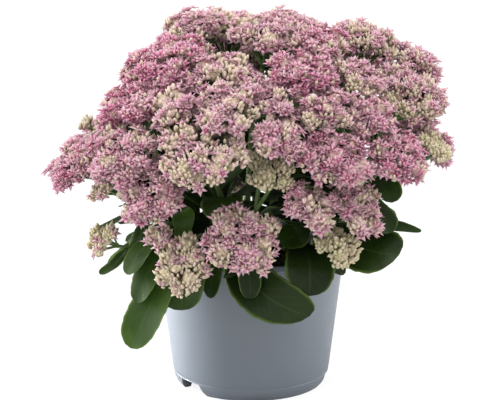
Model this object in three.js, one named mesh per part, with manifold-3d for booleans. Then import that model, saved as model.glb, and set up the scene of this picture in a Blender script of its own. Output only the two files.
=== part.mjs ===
// A potted stonecrop in full flower: a tapering plastic pot filled with soil, fourteen leafy
// stems, and the domed flower heads that they carry. Millimetres, +Z up. The origin is the
// middle of the pot's central foot, on the surface that the pot stands on.

import * as THREE from 'three';
import { ConvexHull } from 'three/addons/math/ConvexHull.js';
import { mergeVertices } from 'three/addons/utils/BufferGeometryUtils.js';
import Module from 'manifold-3d';

const wasm = await Module();
wasm.setup();

// ---------------------------------------------------------------- driving dimensions

const GAP = 0.35; // between pieces that touch
const GOLDEN_ANGLE = Math.PI * (3 - Math.sqrt(5));

const POT = {
  height: 142,
  rimRadius: 97.5,
  lipHeight: 6,
  lipStep: 1, // the lip's under side rises by this from the wall to its edge
  lipThickness: 3.2,
  wallTopRadius: 93.5,
  wallLowRadius: 79.2,
  wallLowHeight: 18,
  wall: 2.2,
  cornerRadius: 77.2, // half-way up the slanted corner between wall and foot
  cornerHeight: 6,
  footRadius: 72,
  footInnerRadius: 65.5,
  footDraft: 1.5, // how much the sides of the feet slant
  centreFootRadius: 15,
  recess: 11,
  floorTop: 14,
  sides: 28,
  notchAzimuths: [219, 352, 105],
  notchWidth: 32,
  notchHeight: 12.5,
  notchDraft: 2.5, // how much each end of a notch leans
  notchDepth: 24,
  drainHoleRadius: 5,
  drainHoleRing: 45,
  drainHoles: 4,
};

const SOIL = { top: 126, mound: 3, dip: 1.2, sides: 16, rings: 2, holeDepth: 18, holeGap: 0.5 };

// A trunk rises upright for a share of its height, then leans over to its fork.
const TRUNK = { radius: 3.4, sides: 5, steps: 5, upright: 0.42, leanAcross: 0.62, leanUp: 0.7 };

// Branches part one after another near the trunk's top, and meet their heads from below.
const BRANCH = { radius: 2.2, sides: 3, steps: 3, spread: 0.035, lead: 0.25, approach: 0.35 };

const DOME = {
  spread: 1.25, // how much wider a dome grows than the radius it is listed with, where it is free
  height: 0.68, // of its radius, above the middle
  depth: 0.8, // of its radius, below the middle
  crevice: 0.13, // how far the furrows between its clusters sink
  clusterSpacing: 28,
  clusterLow: 0.12, // the level of its lowest clusters, where 1 is the crown and 0 the rim
  neckRadius: 7, // of the stalk that the domes of one head share
  cover: 0.82, // a dome hides what lies deeper in it than this share of its radius
  rimBuds: 7,
  rimLevel: -0.06,
  underPoints: 3,
  underLevel: -0.62,
  leastRadius: 4,
};

// The flowers and buds that stand out of a dome, larger than life so that few of them cover it.
const FLOWER = {
  area: 1900, // of the dome's plan, for each open star flower
  levels: [0.98, 0.5],
  radius: 10,
  petals: 5,
  notchRadius: 5,
  notchDepth: 5.5,
  eyeDepth: 1.2,
  turn: 2.4, // from each flower to the next
};
const BUD = {
  pitch: 17,
  crowding: 1.3, // buds for each square of that pitch in the dome's plan
  fewest: 5,
  levels: [1, 0.16],
  room: 6, // from a flower's petals to the nearest bud
  depth: 1.6,
  furrowDepth: 6,
  furrowRoom: 8, // from a flower's eye to the nearest furrow
};

const LEAF = {
  thickness: 2.4,
  foot: 3,
  cup: 0.16,
  toothDepth: 0.06,
  edgeShares: [0, 0.22, 0.42, 0.6, 0.77, 0.92],
  ribShares: [0, 0.36, 0.72],
  basePower: 0.9, // the outline is share^basePower * (1 - share)^tipPower
  tipPower: 0.45,
  testRows: 8,
};

const COLOURS = {
  pot: 0x8f9ba6,
  soil: 0x33271d,
  stem: 0x4d7a34,
  pink: 0xc98fa6,
  cream: 0xd6d2a4,
};

// Each stem has its foot in the soil, the fork where its branches part, and its heads. A head is
// one dome, or several that grew together, of which the first sits on the branch: [x, y, z,
// radius, share of open flowers].
const STEMS = [
  { foot: [-48, -26], fork: [-98, -52, 188], heads: [
    [[-165, -72, 238, 27, 0.8]], [[-137, -92, 221, 17, 0.15]], [[-139, -91, 167, 18, 0.05]],
    [[-166, -8, 230, 28, 0.7], [-162, -6, 265, 10, 0.1], [-132, -36, 262, 20, 0.5]]] },
  { foot: [-40, -50], fork: [-72, -88, 188], heads: [
    [[-116, -125, 259, 33, 0.75], [-88, -143, 227, 32, 0.7]],
    [[-61, -142, 157, 26, 0.15], [-83, -124, 177, 15, 0.25]], [[-109, -97, 295, 32, 0.9]]] },
  { foot: [-24, -12], fork: [-72, -14, 240], heads: [
    [[-76, -63, 325, 40, 0.9]], [[-50, -3, 355, 32, 0.55]],
    [[-68, 35, 318, 34, 0.7], [-100, 22, 284, 34, 0.7]]] },
  { foot: [-16, -40], fork: [-32, -84, 222], heads: [
    [[-26, -102, 311, 41, 0.55]], [[-62, -133, 299, 27, 0.7]],
    [[-42, -159, 266, 37, 0.25], [-22, -148, 300, 31, 0.5]]] },
  { foot: [6, -62], fork: [4, -96, 198], heads: [
    [[-8, -155, 183, 31, 0.6]], [[20, -140, 246, 25, 0], [54, -157, 217, 25, 0.65]],
    [[18, -137, 306, 25, 0.7], [20, -161, 281, 25, 0.7]]] },
  { foot: [14, -20], fork: [36, -44, 258], heads: [
    [[12, -43, 355, 31, 0.55], [61, -45, 346, 31, 0.8], [36, 3, 356, 27, 0.7]],
    [[46, -101, 323, 33, 0.9]], [[66, -131, 295, 29, 0.6]]] },
  { foot: [38, -46], fork: [64, -84, 192], heads: [
    [[74, -148, 259, 32, 0.8], [94, -137, 209, 27, 0.7]], [[77, -136, 178, 23, 0]]] },
  { foot: [56, -24], fork: [92, -62, 218], heads: [
    [[99, -80, 317, 26, 0.5], [103, -112, 288, 30, 0.75]], [[131, -119, 255, 30, 0.85]]] },
  { foot: [58, 4], fork: [116, -6, 218], heads: [
    [[154, -31, 297, 34, 0.45], [140, -57, 289, 21, 0.1]], [[176, -58, 248, 20, 0]],
    [[160, 14, 320, 27, 0.65]], [[170, 14, 244, 32, 0.7]]] },
  { foot: [34, 22], fork: [84, 30, 238], heads: [
    [[114, 13, 339, 32, 0.6]], [[98, 72, 306, 39, 0.7]], [[150, 56, 286, 36, 0.6]]] },
  { foot: [44, 46], fork: [90, 78, 188], heads: [
    [[146, 98, 238, 38, 0.75]], [[96, 138, 240, 39, 0.8]], [[108, 120, 186, 29, 0.3]],
    [[158, 62, 214, 24, 0.5]]] },
  { foot: [4, 52], fork: [4, 96, 190], heads: [
    [[34, 158, 240, 39, 0.7], [-32, 160, 240, 38, 0.8]], [[44, 146, 176, 31, 0.6]],
    [[-34, 146, 172, 32, 0.2]]] },
  { foot: [-6, 14], fork: [2, 50, 262], heads: [
    [[35, 52, 341, 36, 0.75], [-28, 60, 343, 36, 0.65]],
    [[38, 112, 304, 40, 0.5], [-28, 122, 300, 38, 0.8]]] },
  { foot: [-46, 30], fork: [-88, 66, 200], heads: [
    [[-84, 88, 300, 38, 0.6]], [[-94, 138, 244, 38, 0.7], [-118, 92, 250, 38, 0.8]],
    [[-98, 120, 182, 30, 0.6]], [[-130, 70, 204, 24, 0.1]], [[-156, 44, 238, 24, 0.6]]] },
];

// The leaves that show most, each on its stem's trunk (branch 0) or on the branch to one of its
// heads: [stem, branch, share of the way along it, a point in the leaf's middle, its tip, its
// width, the azimuth and elevation that its upper face looks to].
const SHOWN_LEAVES = [
  [2, 2, 0.35, [-89, -112, 122], [-113, -128, 72], 40, [245, 25]],
  [2, 2, 0.15, [-92, -108, 150], [-107, -122, 115], 27, [245, 40]],
  [2, 0, 0.97, [-97, -108, 167], [-116, -122, 142], 24, [235, 45]],
  [1, 3, 0.75, [-128, -86, 145], [-143, -96, 135], 15, [230, 30]],
  [1, 3, 0.2, [-105, -78, 171], [-112, -86, 148], 17, [240, 30]],
  [1, 0, 0.8, [-104, -82, 184], [-123, -100, 185], 18, [235, 50]],
  [2, 0, 0.75, [-63, -104, 140], [-65, -118, 106], 44, [255, 25]],
  [2, 1, 0.1, [-64, -106, 196], [-63, -112, 176], 22, [262, 35]],
  [4, 0, 0.5, [-33, -90, 157], [-38, -112, 116], 22, [255, 35]],
  [4, 0, 0.5, [1, -114, 131], [55, -126, 103], 48, [276, 15]],
  [4, 0, 0.7, [-27, -90, 207], [-27, -104, 187], 40, [265, 35]],
  [4, 0, 0.58, [-14, -98, 152], [-24, -110, 135], 14, [260, 35]],
  [5, 1, 0.5, [-1, -118, 151], [-1, -128, 120], 22, [268, 30]],
  [7, 0, 0.5, [54, -102, 153], [55, -118, 120], 48, [278, 35]],
  [7, 0, 0.75, [41, -98, 173], [26, -110, 169], 30, [280, 45]],
  [8, 0, 0.5, [100, -92, 161], [139, -110, 158], 52, [288, 18]],
  [8, 0, 0.8, [121, -75, 181], [161, -90, 175], 24, [290, 80]],
  [8, 0, 0.9, [100, -84, 218], [108, -104, 213], 22, [300, 40]],
];

// The other leaves stand along the trunks by rule: where they start, and the turns, lengths and
// slopes that are tried in order until a leaf is clear of all that is there already.
const LEAF_RULE = {
  shares: [0.5, 0.82, 0.4],
  turns: [20, -20, 60, -60, 100, -100, 140, -140, 180],
  lengths: [78, 66, 54],
  slopes: [4, 26, -16],
  widthShare: 0.56,
  rise: 0.14, // of its length, how far the middle stands over the straight line
  room: 7.6, // between the sampled points of two blades, and to a stem's middle line
  headRoom: 3.5,
  soilRoom: 6,
  potRoom: 3.5,
  footPoints: 5, // a leaf's own first points, which may be close to its own stem
  faceElevation: 80,
};

// ---------------------------------------------------------------- solids and meshes

/** A closed three.js geometry as a solid that can be joined and cut. */
function solidOf(geometry) {
  const bare = new THREE.BufferGeometry();
  bare.setAttribute('position', geometry.getAttribute('position').clone());
  if (geometry.index) bare.setIndex(geometry.index.clone());
  const merged = mergeVertices(bare, 1e-3);
  return new wasm.Manifold(new wasm.Mesh({
    numProp: 3,
    vertProperties: new Float32Array(merged.getAttribute('position').array),
    triVerts: new Uint32Array(merged.index.array),
  }));
}

/** A solid as a three.js geometry. */
function geometryOf(solid) {
  const { numProp, vertProperties, triVerts } = solid.getMesh();
  const geometry = new THREE.BufferGeometry();
  const corners = vertProperties.length / numProp;
  const positions = new Float32Array(corners * 3);
  for (let i = 0; i < corners; i += 1) {
    positions.set(vertProperties.subarray(i * numProp, i * numProp + 3), i * 3);
  }
  geometry.setAttribute('position', new THREE.BufferAttribute(positions, 3));
  geometry.setIndex(new THREE.BufferAttribute(new Uint32Array(triVerts), 1));
  geometry.computeVertexNormals();
  return geometry;
}

/** A geometry from corner points and triangles of their numbers. */
function meshOf(points, triangles) {
  const geometry = new THREE.BufferGeometry().setFromPoints(points);
  geometry.setIndex(triangles.flat());
  return geometry;
}

/** All the solids joined into one, without loose scraps. */
function joined(solids) {
  const bodies = solids.reduce((whole, next) => whole.add(next)).decompose();
  return bodies.reduce((largest, body) => (body.volume() > largest.volume() ? body : largest));
}

/** A bar of constant section along a curve. */
function tube(curve, radius, sides, steps) {
  const corners = [];
  for (let k = 0; k < sides; k += 1) {
    const angle = -(k / sides) * 2 * Math.PI;
    corners.push(new THREE.Vector2(radius * Math.cos(angle), radius * Math.sin(angle)));
  }
  return new THREE.ExtrudeGeometry(new THREE.Shape(corners), {
    steps, extrudePath: curve, bevelEnabled: false,
  });
}

// ---------------------------------------------------------------- pot

/** A pot's wall, turned as one closed profile from axis to axis. */
function potSolid() {
  const wallTop = potWallTop();
  const profile = [
    [0, 0],
    [POT.centreFootRadius, 0],
    [POT.centreFootRadius + POT.footDraft, POT.recess],
    [POT.footInnerRadius - POT.footDraft, POT.recess],
    [POT.footInnerRadius, 0],
    [POT.footRadius, 0],
    [POT.cornerRadius, POT.cornerHeight],
    [POT.wallLowRadius, POT.wallLowHeight],
    [POT.wallTopRadius, wallTop],
    [POT.rimRadius, wallTop + POT.lipStep],
    [POT.rimRadius, POT.height],
    [POT.rimRadius - POT.lipThickness, POT.height],
    [potInside(wallTop), wallTop],
    [potInside(POT.floorTop), POT.floorTop],
    [0, POT.floorTop],
  ].map(([r, z]) => new THREE.Vector2(r, z));
  const turned = new THREE.LatheGeometry(profile, POT.sides);
  turned.rotateX(Math.PI / 2);
  let pot = solidOf(turned);
  for (const azimuth of POT.notchAzimuths) {
    pot = pot.subtract(solidOf(notchCutter(THREE.MathUtils.degToRad(azimuth))));
  }
  for (let k = 0; k < POT.drainHoles; k += 1) {
    const angle = Math.PI / 4 + (k / POT.drainHoles) * 2 * Math.PI;
    const hole = new THREE.CylinderGeometry(
      POT.drainHoleRadius, POT.drainHoleRadius, 3 * POT.floorTop, 8,
    );
    hole.rotateX(Math.PI / 2);
    hole.translate(POT.drainHoleRing * Math.cos(angle), POT.drainHoleRing * Math.sin(angle), 0);
    pot = pot.subtract(solidOf(hole));
  }
  return pot;
}

/** The wedge that cuts one drainage notch with slanted ends through the foot ring. */
function notchCutter(azimuth) {
  const top = POT.notchWidth / 2 - POT.notchDraft;
  const foot = POT.notchWidth / 2 + POT.notchDraft;
  const outline = new THREE.Shape([
    new THREE.Vector2(-foot, -1),
    new THREE.Vector2(foot, -1),
    new THREE.Vector2(top, POT.notchHeight),
    new THREE.Vector2(-top, POT.notchHeight),
  ]);
  const cutter = new THREE.ExtrudeGeometry(outline, {
    depth: POT.notchDepth, bevelEnabled: false,
  });
  cutter.rotateX(Math.PI / 2);
  cutter.translate(0, POT.wallTopRadius - POT.notchDepth / 2, 0);
  cutter.rotateZ(azimuth - Math.PI / 2);
  return cutter;
}

/** The height at which the pot's wall meets its lip. */
const potWallTop = () => POT.height - POT.lipHeight - POT.lipStep;

/** The inner radius of the pot's wall at a height. */
function potInside(z) {
  const low = POT.wallLowRadius - POT.wall - POT.lipStep;
  const high = POT.wallTopRadius - POT.wall;
  const share = (z - POT.floorTop) / (potWallTop() - POT.floorTop);
  return THREE.MathUtils.lerp(low, high, share);
}

// ---------------------------------------------------------------- soil

/** The soil's uneven top: a low mound with shallow dips. */
function soilHeight(x, y) {
  const out = Math.hypot(x, y) / POT.wallTopRadius;
  const dips = Math.sin(x * 0.11 + 1) * Math.cos(y * 0.13) + 0.6 * Math.sin(x * 0.05 - y * 0.19);
  return SOIL.top + SOIL.mound * (1 - out * out) + SOIL.dip * dips;
}

/** Soil that fills the pot, with a plain hole for each stem's foot. */
function soilSolid(trunks) {
  const facet = Math.cos(Math.PI / POT.sides);
  const points = [];
  const triangles = [];
  const ringAt = (radius, height) => {
    for (let k = 0; k < SOIL.sides; k += 1) {
      const angle = (k / SOIL.sides) * 2 * Math.PI;
      const x = radius * Math.cos(angle);
      const y = radius * Math.sin(angle);
      points.push(new THREE.Vector3(x, y, height(x, y)));
    }
  };
  const bottom = POT.floorTop + GAP;
  ringAt(potInside(bottom) * facet - GAP, () => bottom);
  ringAt(potInside(SOIL.top) * facet - GAP - 1, soilHeight);
  for (let ring = SOIL.rings - 1; ring > 0; ring -= 1) {
    ringAt((potInside(SOIL.top) * ring) / SOIL.rings, soilHeight);
  }
  const rings = SOIL.rings + 1;
  for (let ring = 0; ring < rings - 1; ring += 1) {
    for (let k = 0; k < SOIL.sides; k += 1) {
      const a = ring * SOIL.sides + k;
      const b = ring * SOIL.sides + ((k + 1) % SOIL.sides);
      triangles.push([a, b, b + SOIL.sides], [a, b + SOIL.sides, a + SOIL.sides]);
    }
  }
  const bottomMiddle = points.push(new THREE.Vector3(0, 0, bottom)) - 1;
  const topMiddle = points.push(new THREE.Vector3(0, 0, soilHeight(0, 0))) - 1;
  const last = (rings - 1) * SOIL.sides;
  for (let k = 0; k < SOIL.sides; k += 1) {
    const next = (k + 1) % SOIL.sides;
    triangles.push([bottomMiddle, next, k], [topMiddle, last + k, last + next]);
  }
  let soil = solidOf(meshOf(points, triangles));
  for (const trunk of trunks) {
    const hole = trunk.clone();
    hole.v0 = trunk.v0.clone().setZ(trunk.v0.z - SOIL.holeGap);
    const cutter = tube(hole, TRUNK.radius + SOIL.holeGap, TRUNK.sides, TRUNK.steps);
    soil = soil.subtract(solidOf(cutter));
  }
  return soil;
}

// ---------------------------------------------------------------- flower heads

/** One dome of flowers: where it is, which way it faces, and the clusters that it is made of. */
class Dome {
  constructor([x, y, z, radius, bloom], head) {
    this.centre = new THREE.Vector3(x, y, z);
    this.radius = radius * DOME.spread;
    this.bloom = bloom;
    this.head = head;
    const heart = new THREE.Vector3(0, 0, POT.height);
    this.axis = this.centre.clone().sub(heart).normalize();
    this.axis.z += DOME.height / 2;
    this.axis.normalize();
    this.right = new THREE.Vector3(-this.axis.y, this.axis.x, 0);
    if (this.right.lengthSq() < 1e-6) this.right.set(1, 0, 0);
    this.right.normalize();
    this.front = new THREE.Vector3().crossVectors(this.axis, this.right);
    this.walls = [];
    const count = 2 + Math.round((Math.PI * this.radius ** 2) / DOME.clusterSpacing ** 2);
    this.clusters = this.spiral(count, [1, DOME.clusterLow], x + y);
  }

  /** Directions spread evenly over the dome by the golden angle, from one height to another. */
  spiral(count, [top, bottom], turn) {
    const directions = [];
    for (let k = 0; k < count; k += 1) {
      const up = THREE.MathUtils.lerp(top, bottom, (k + 0.5) / count);
      directions.push(this.direction(up, k * GOLDEN_ANGLE + turn));
    }
    return directions;
  }

  /** Directions in a level ring round the dome. */
  ring(count, level, turn) {
    return Array.from({ length: count }, (_, k) => (
      this.direction(level, (k / count) * 2 * Math.PI + turn)));
  }

  /** The direction of a point of the dome, from its level (1 is the crown) and its turn. */
  direction(up, turn) {
    const out = Math.sqrt(Math.max(0, 1 - up * up));
    return this.right.clone().multiplyScalar(out * Math.cos(turn))
      .addScaledVector(this.front, out * Math.sin(turn))
      .addScaledVector(this.axis, up * (up > 0 ? DOME.height : DOME.depth))
      .normalize();
  }

  /** Keeps this dome on its own side of the plane that it shares with a neighbour. */
  meet(other) {
    const way = other.centre.clone().sub(this.centre);
    const far = way.length();
    if (far > DOME.spread * (this.radius + other.radius)) return;
    const share = (far * far + this.radius ** 2 - other.radius ** 2) / (2 * far);
    this.walls.push({ other, way: way.normalize(), share: share - GAP });
  }

  /** The dome without neighbours: a flattened cap over a shallow cone, furrowed in clusters. */
  freeRadius(direction) {
    const up = direction.dot(this.axis);
    const out = Math.sqrt(Math.max(0, 1 - up * up));
    if (up < 0) return this.radius / (out - up / DOME.depth);
    const cap = this.radius / Math.hypot(out, up / DOME.height);
    const near = Math.max(...this.clusters.map((cluster) => cluster.dot(direction)));
    return cap * (1 - DOME.crevice * (1 - THREE.MathUtils.smoothstep(near, 0.72, 0.97)));
  }

  /** How far the dome reaches in a direction, between its neighbours. */
  reach(direction) {
    let far = this.freeRadius(direction);
    for (const { way, share } of this.walls) {
      const facing = way.dot(direction);
      if (facing > 0.02) far = Math.min(far, share / facing);
    }
    return far;
  }

  /** Whether a point lies outside the dome by at least some room. */
  clearOf(point, room) {
    const way = point.clone().sub(this.centre);
    const far = way.length();
    return far > this.radius + room || far > this.reach(way.normalize()) + room;
  }

  /** Whether a direction ends in the open rather than inside a neighbour. */
  open(direction) {
    const end = this.centre.clone().addScaledVector(direction, this.reach(direction));
    return this.walls.every(({ other }) => {
      const way = end.clone().sub(other.centre);
      const far = way.length();
      return far > other.radius || far > DOME.cover * other.freeRadius(way.normalize());
    });
  }
}

/** The triangles between directions, from their convex hull on the sphere. */
function sphereTriangles(directions) {
  const numbers = new Map(directions.map((direction, k) => [direction, k]));
  return new ConvexHull().setFromPoints(directions).faces.map((face) => [
    numbers.get(face.getEdge(0).head().point),
    numbers.get(face.getEdge(1).head().point),
    numbers.get(face.getEdge(2).head().point),
  ]);
}

/** A head's solid: its dome, or several domes on the thick necks that they share. */
function headSolid({ domes }) {
  const pieces = domes.map(domeSolid);
  for (const other of domes.slice(1)) {
    const neck = new THREE.LineCurve3(domes[0].centre, other.centre);
    pieces.push(solidOf(tube(neck, DOME.neckRadius, TRUNK.sides, 1)));
  }
  return joined(pieces);
}

/** Directions in a ring round one direction, at a distance over the dome's surface. */
function ringAround(dome, middle, count, distance, turn) {
  const far = dome.reach(middle);
  const across = new THREE.Vector3().crossVectors(dome.front, middle).normalize();
  const along = new THREE.Vector3().crossVectors(middle, across);
  return Array.from({ length: count }, (_, k) => {
    const angle = (k / count) * 2 * Math.PI + turn;
    return middle.clone().multiplyScalar(far)
      .addScaledVector(across, distance * Math.cos(angle))
      .addScaledVector(along, distance * Math.sin(angle))
      .normalize();
  });
}

/** One dome's solid: open star flowers among pointed buds, on a closed core. */
function domeSolid(dome) {
  const directions = [];
  const depths = [];
  const place = (direction, depth) => {
    directions.push(direction);
    depths.push(depth);
  };
  const area = Math.PI * dome.radius ** 2;
  const flowerCount = dome.bloom > 0 ? Math.round((dome.bloom * area) / FLOWER.area + 0.6) : 0;
  const flowers = dome.spiral(flowerCount, FLOWER.levels, dome.radius)
    .filter((direction) => dome.open(direction));
  const clearOfFlowers = (direction, room) => flowers.every((flower) => (
    flower.angleTo(direction) * dome.reach(direction) > room));
  const budCount = Math.max(BUD.fewest, Math.round((BUD.crowding * area) / BUD.pitch ** 2));
  const buds = dome.spiral(budCount, BUD.levels, dome.radius)
    .filter((direction) => clearOfFlowers(direction, FLOWER.radius + BUD.room));
  const rim = dome.ring(DOME.rimBuds, DOME.rimLevel, 0.2);
  const under = [...dome.ring(DOME.underPoints, DOME.underLevel, 0.3), dome.axis.clone().negate()];
  flowers.forEach((flower, k) => {
    const turn = k * FLOWER.turn;
    place(flower, FLOWER.eyeDepth);
    ringAround(dome, flower, FLOWER.petals, FLOWER.radius, turn)
      .forEach((tip) => place(tip, 0));
    ringAround(dome, flower, FLOWER.petals, FLOWER.notchRadius, turn + Math.PI / FLOWER.petals)
      .forEach((notch) => place(notch, FLOWER.notchDepth));
  });
  for (const direction of [...buds, ...rim]) place(direction, BUD.depth);
  for (const direction of under) place(direction, 0);
  const upper = flowers.length + buds.length;
  const frame = [...flowers, ...buds, ...rim, ...under];
  for (const corners of sphereTriangles(frame)) {
    const middle = new THREE.Vector3();
    for (const corner of corners) middle.add(frame[corner]);
    middle.normalize();
    const amongBuds = corners.filter((corner) => corner < upper).length > 1;
    if (amongBuds && dome.open(middle) && clearOfFlowers(middle, BUD.furrowRoom)) {
      place(middle, BUD.furrowDepth);
    }
  }
  const points = directions.map((direction, k) => direction.clone()
    .multiplyScalar(Math.max(DOME.leastRadius, dome.reach(direction) - depths[k]))
    .add(dome.centre));
  const triangles = sphereTriangles(directions);
  flowers.forEach((_, k) => raisePetals(triangles, k * (1 + 2 * FLOWER.petals)));
  return solidOf(meshOf(points, triangles));
}

/** Turns the edges between a flower's notches into ridges from its eye to its petals' tips. */
function raisePetals(triangles, eye) {
  const after = (triangle, corner) => triangle[(triangle.indexOf(corner) + 1) % 3];
  for (let k = 0; k < FLOWER.petals; k += 1) {
    const tip = eye + 1 + k;
    const before = (k + FLOWER.petals - 1) % FLOWER.petals;
    const notches = [k, before].map((notch) => eye + 1 + FLOWER.petals + notch);
    const between = (corner) => triangles.findIndex((triangle) => (
      [corner, ...notches].every((each) => triangle.includes(each))));
    const [inner, outer] = [between(eye), between(tip)];
    if (inner < 0 || outer < 0) continue;
    const first = after(triangles[inner], eye);
    const second = notches.find((notch) => notch !== first);
    triangles[inner] = [eye, first, tip];
    triangles[outer] = [eye, tip, second];
  }
}

// ---------------------------------------------------------------- stems and leaves

/** A stem's trunk, upright in the soil and then leaning out to its fork. */
function trunkCurve({ foot: [x, y], fork }) {
  const base = soilHeight(x, y) - SOIL.holeDepth;
  const top = new THREE.Vector3(...fork);
  const lean = new THREE.Vector3(x, y, base).lerp(top, TRUNK.leanAcross);
  lean.z = THREE.MathUtils.lerp(base, top.z, TRUNK.leanUp);
  return new THREE.CubicBezierCurve3(
    new THREE.Vector3(x, y, base),
    new THREE.Vector3(x, y, THREE.MathUtils.lerp(base, top.z, TRUNK.upright)),
    lean,
    top,
  );
}

/** A branch from the fork to the underside of a dome, which it meets along the dome's axis. */
function branchCurve(trunk, dome, order) {
  const under = dome.axis.clone().negate();
  const tip = dome.centre.clone().addScaledVector(under, dome.reach(under) + GAP);
  const length = trunk.v3.distanceTo(tip);
  const share = 1 - BRANCH.spread * (order + 1);
  const start = trunk.getPoint(share);
  return new THREE.CubicBezierCurve3(
    start,
    start.clone().addScaledVector(trunk.getTangent(share), length * BRANCH.lead),
    tip.clone().addScaledVector(under, length * BRANCH.approach),
    tip,
  );
}

/** A leaf's outline: half its width at each share of its length, widest beyond the middle. */
function leafHalfWidth(width, share) {
  const { basePower, tipPower } = LEAF;
  const oval = (t) => t ** basePower * (1 - t) ** tipPower;
  const widest = oval(basePower / (basePower + tipPower));
  return Math.max(((width / 2) * oval(share)) / widest, LEAF.foot * (1 - share));
}

/** A leaf's shape: its arched midrib, and the way across it. */
class LeafShape {
  constructor(base, middle, tip, width, [azimuth, elevation]) {
    this.width = width;
    const bend = middle.clone().multiplyScalar(2)
      .addScaledVector(base, -0.5).addScaledVector(tip, -0.5);
    this.midrib = new THREE.QuadraticBezierCurve3(base, bend, tip);
    const turn = THREE.MathUtils.degToRad(azimuth);
    const raise = THREE.MathUtils.degToRad(elevation);
    const face = new THREE.Vector3(
      Math.cos(raise) * Math.cos(turn),
      Math.cos(raise) * Math.sin(turn),
      Math.sin(raise),
    );
    this.side = tip.clone().sub(base).cross(face).normalize();
  }

  /** A point of the blade: share of its length, then across it from -1 to 1, then above it. */
  point(share, across, above) {
    const up = this.side.clone().cross(this.midrib.getTangent(share)).normalize();
    const out = across * leafHalfWidth(this.width, share);
    return this.midrib.getPoint(share)
      .addScaledVector(this.side, out)
      .addScaledVector(up, above + Math.abs(out) * LEAF.cup);
  }

  /** Points spread over the blade, which stand for it when its room is tested. */
  samples() {
    const points = [];
    for (let row = 1; row <= LEAF.testRows; row += 1) {
      for (const across of [-1, -0.5, 0, 0.5, 1]) {
        points.push(this.point(row / LEAF.testRows, across, 0));
      }
    }
    return points;
  }
}

/** The triangles of a strip between two chains of [number, share], both running to the tip. */
function strip(left, right) {
  const triangles = [];
  let l = 0;
  let r = 0;
  while (l < left.length - 1 || r < right.length - 1) {
    const stepLeft = r === right.length - 1
      || (l < left.length - 1 && left[l + 1][1] <= right[r + 1][1]);
    if (stepLeft) {
      triangles.push([left[l][0], right[r][0], left[l + 1][0]]);
      l += 1;
    } else {
      triangles.push([left[l][0], right[r][0], right[r + 1][0]]);
      r += 1;
    }
  }
  return triangles.filter(([a, b, c]) => a !== b && b !== c && c !== a);
}

/** A fleshy blade: toothed edges, a cupped upper face, and an under face split like it. */
function leafSolid(leaf) {
  const points = [];
  const put = (point) => points.push(point) - 1;
  const edge = (side) => LEAF.edgeShares.map((share, k) => {
    const tooth = 1 + (k > 1 ? LEAF.toothDepth * (k % 2 ? 1 : -1) : 0);
    return [put(leaf.point(share, side * tooth, 0)), share];
  });
  const rib = (face) => LEAF.ribShares.map((share) => (
    [put(leaf.point(share, 0, (face * LEAF.thickness) / 2)), share]));
  const tip = [put(leaf.point(1, 0, 0)), 1];
  const left = [...edge(-1), tip];
  const right = [...edge(1), tip];
  const upper = [...rib(1), tip];
  const under = [...rib(-1), tip];
  const triangles = [
    ...strip(upper, right),
    ...strip(left, upper),
    ...strip(right, under),
    ...strip(under, left),
    [left[0][0], under[0][0], upper[0][0]],
    [right[0][0], upper[0][0], under[0][0]],
  ];
  return solidOf(meshOf(points, triangles));
}

/** The leaves of the list, in an array for each stem. */
function shownLeaves(trunks, branches) {
  const leaves = STEMS.map(() => []);
  for (const [stem, branch, share, middle, tip, width, face] of SHOWN_LEAVES) {
    const curve = branch === 0 ? trunks[stem - 1] : branches[stem - 1][branch - 1];
    const [through, end] = [middle, tip].map((values) => new THREE.Vector3(...values));
    leaves[stem - 1].push(new LeafShape(curve.getPoint(share), through, end, width, face));
  }
  return leaves;
}

/** Whether a point of a leaf is clear of the pot and the soil. */
function clearOfPot(point) {
  const out = Math.hypot(point.x, point.y);
  const overSoil = out < POT.rimRadius && point.z > SOIL.top + SOIL.mound + LEAF_RULE.soilRoom;
  const inside = out < POT.wallTopRadius - POT.wall - LEAF_RULE.potRoom;
  const outside = out > POT.rimRadius + LEAF_RULE.potRoom;
  const overRim = point.z > POT.height + LEAF_RULE.potRoom;
  return overRim || outside || (inside && overSoil);
}

/** Adds the leaves that the rule finds room for. */
function addRuleLeaves(leaves, trunks, branches, domes) {
  const stemPoints = trunks.map((trunk, k) => [
    ...trunk.getPoints(20),
    ...branches[k].flatMap((branch) => branch.getPoints(14)),
  ]);
  const taken = leaves.map((own) => own.flatMap((leaf) => leaf.samples()));
  const near = (points, others) => points.some((point) => (
    others.some((other) => point.distanceTo(other) < LEAF_RULE.room)));
  const clear = (leaf, stem) => {
    const points = leaf.samples();
    const free = points.slice(LEAF_RULE.footPoints);
    const clearOfEach = (others, k) => !near(k === stem ? free : points, others);
    return points.every(clearOfPot)
      && points.every((point) => domes.every((dome) => dome.clearOf(point, LEAF_RULE.headRoom)))
      && stemPoints.every(clearOfEach)
      && taken.every(clearOfEach);
  };
  trunks.forEach((trunk, stem) => {
    const outward = Math.atan2(trunk.v3.y, trunk.v3.x);
    LEAF_RULE.shares.forEach((share, order) => {
      const base = trunk.getPoint(share);
      const leaf = firstClear(base, outward, order, (candidate) => clear(candidate, stem));
      if (!leaf) return;
      leaves[stem].push(leaf);
      taken[stem].push(...leaf.samples());
    });
  });
}

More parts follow.
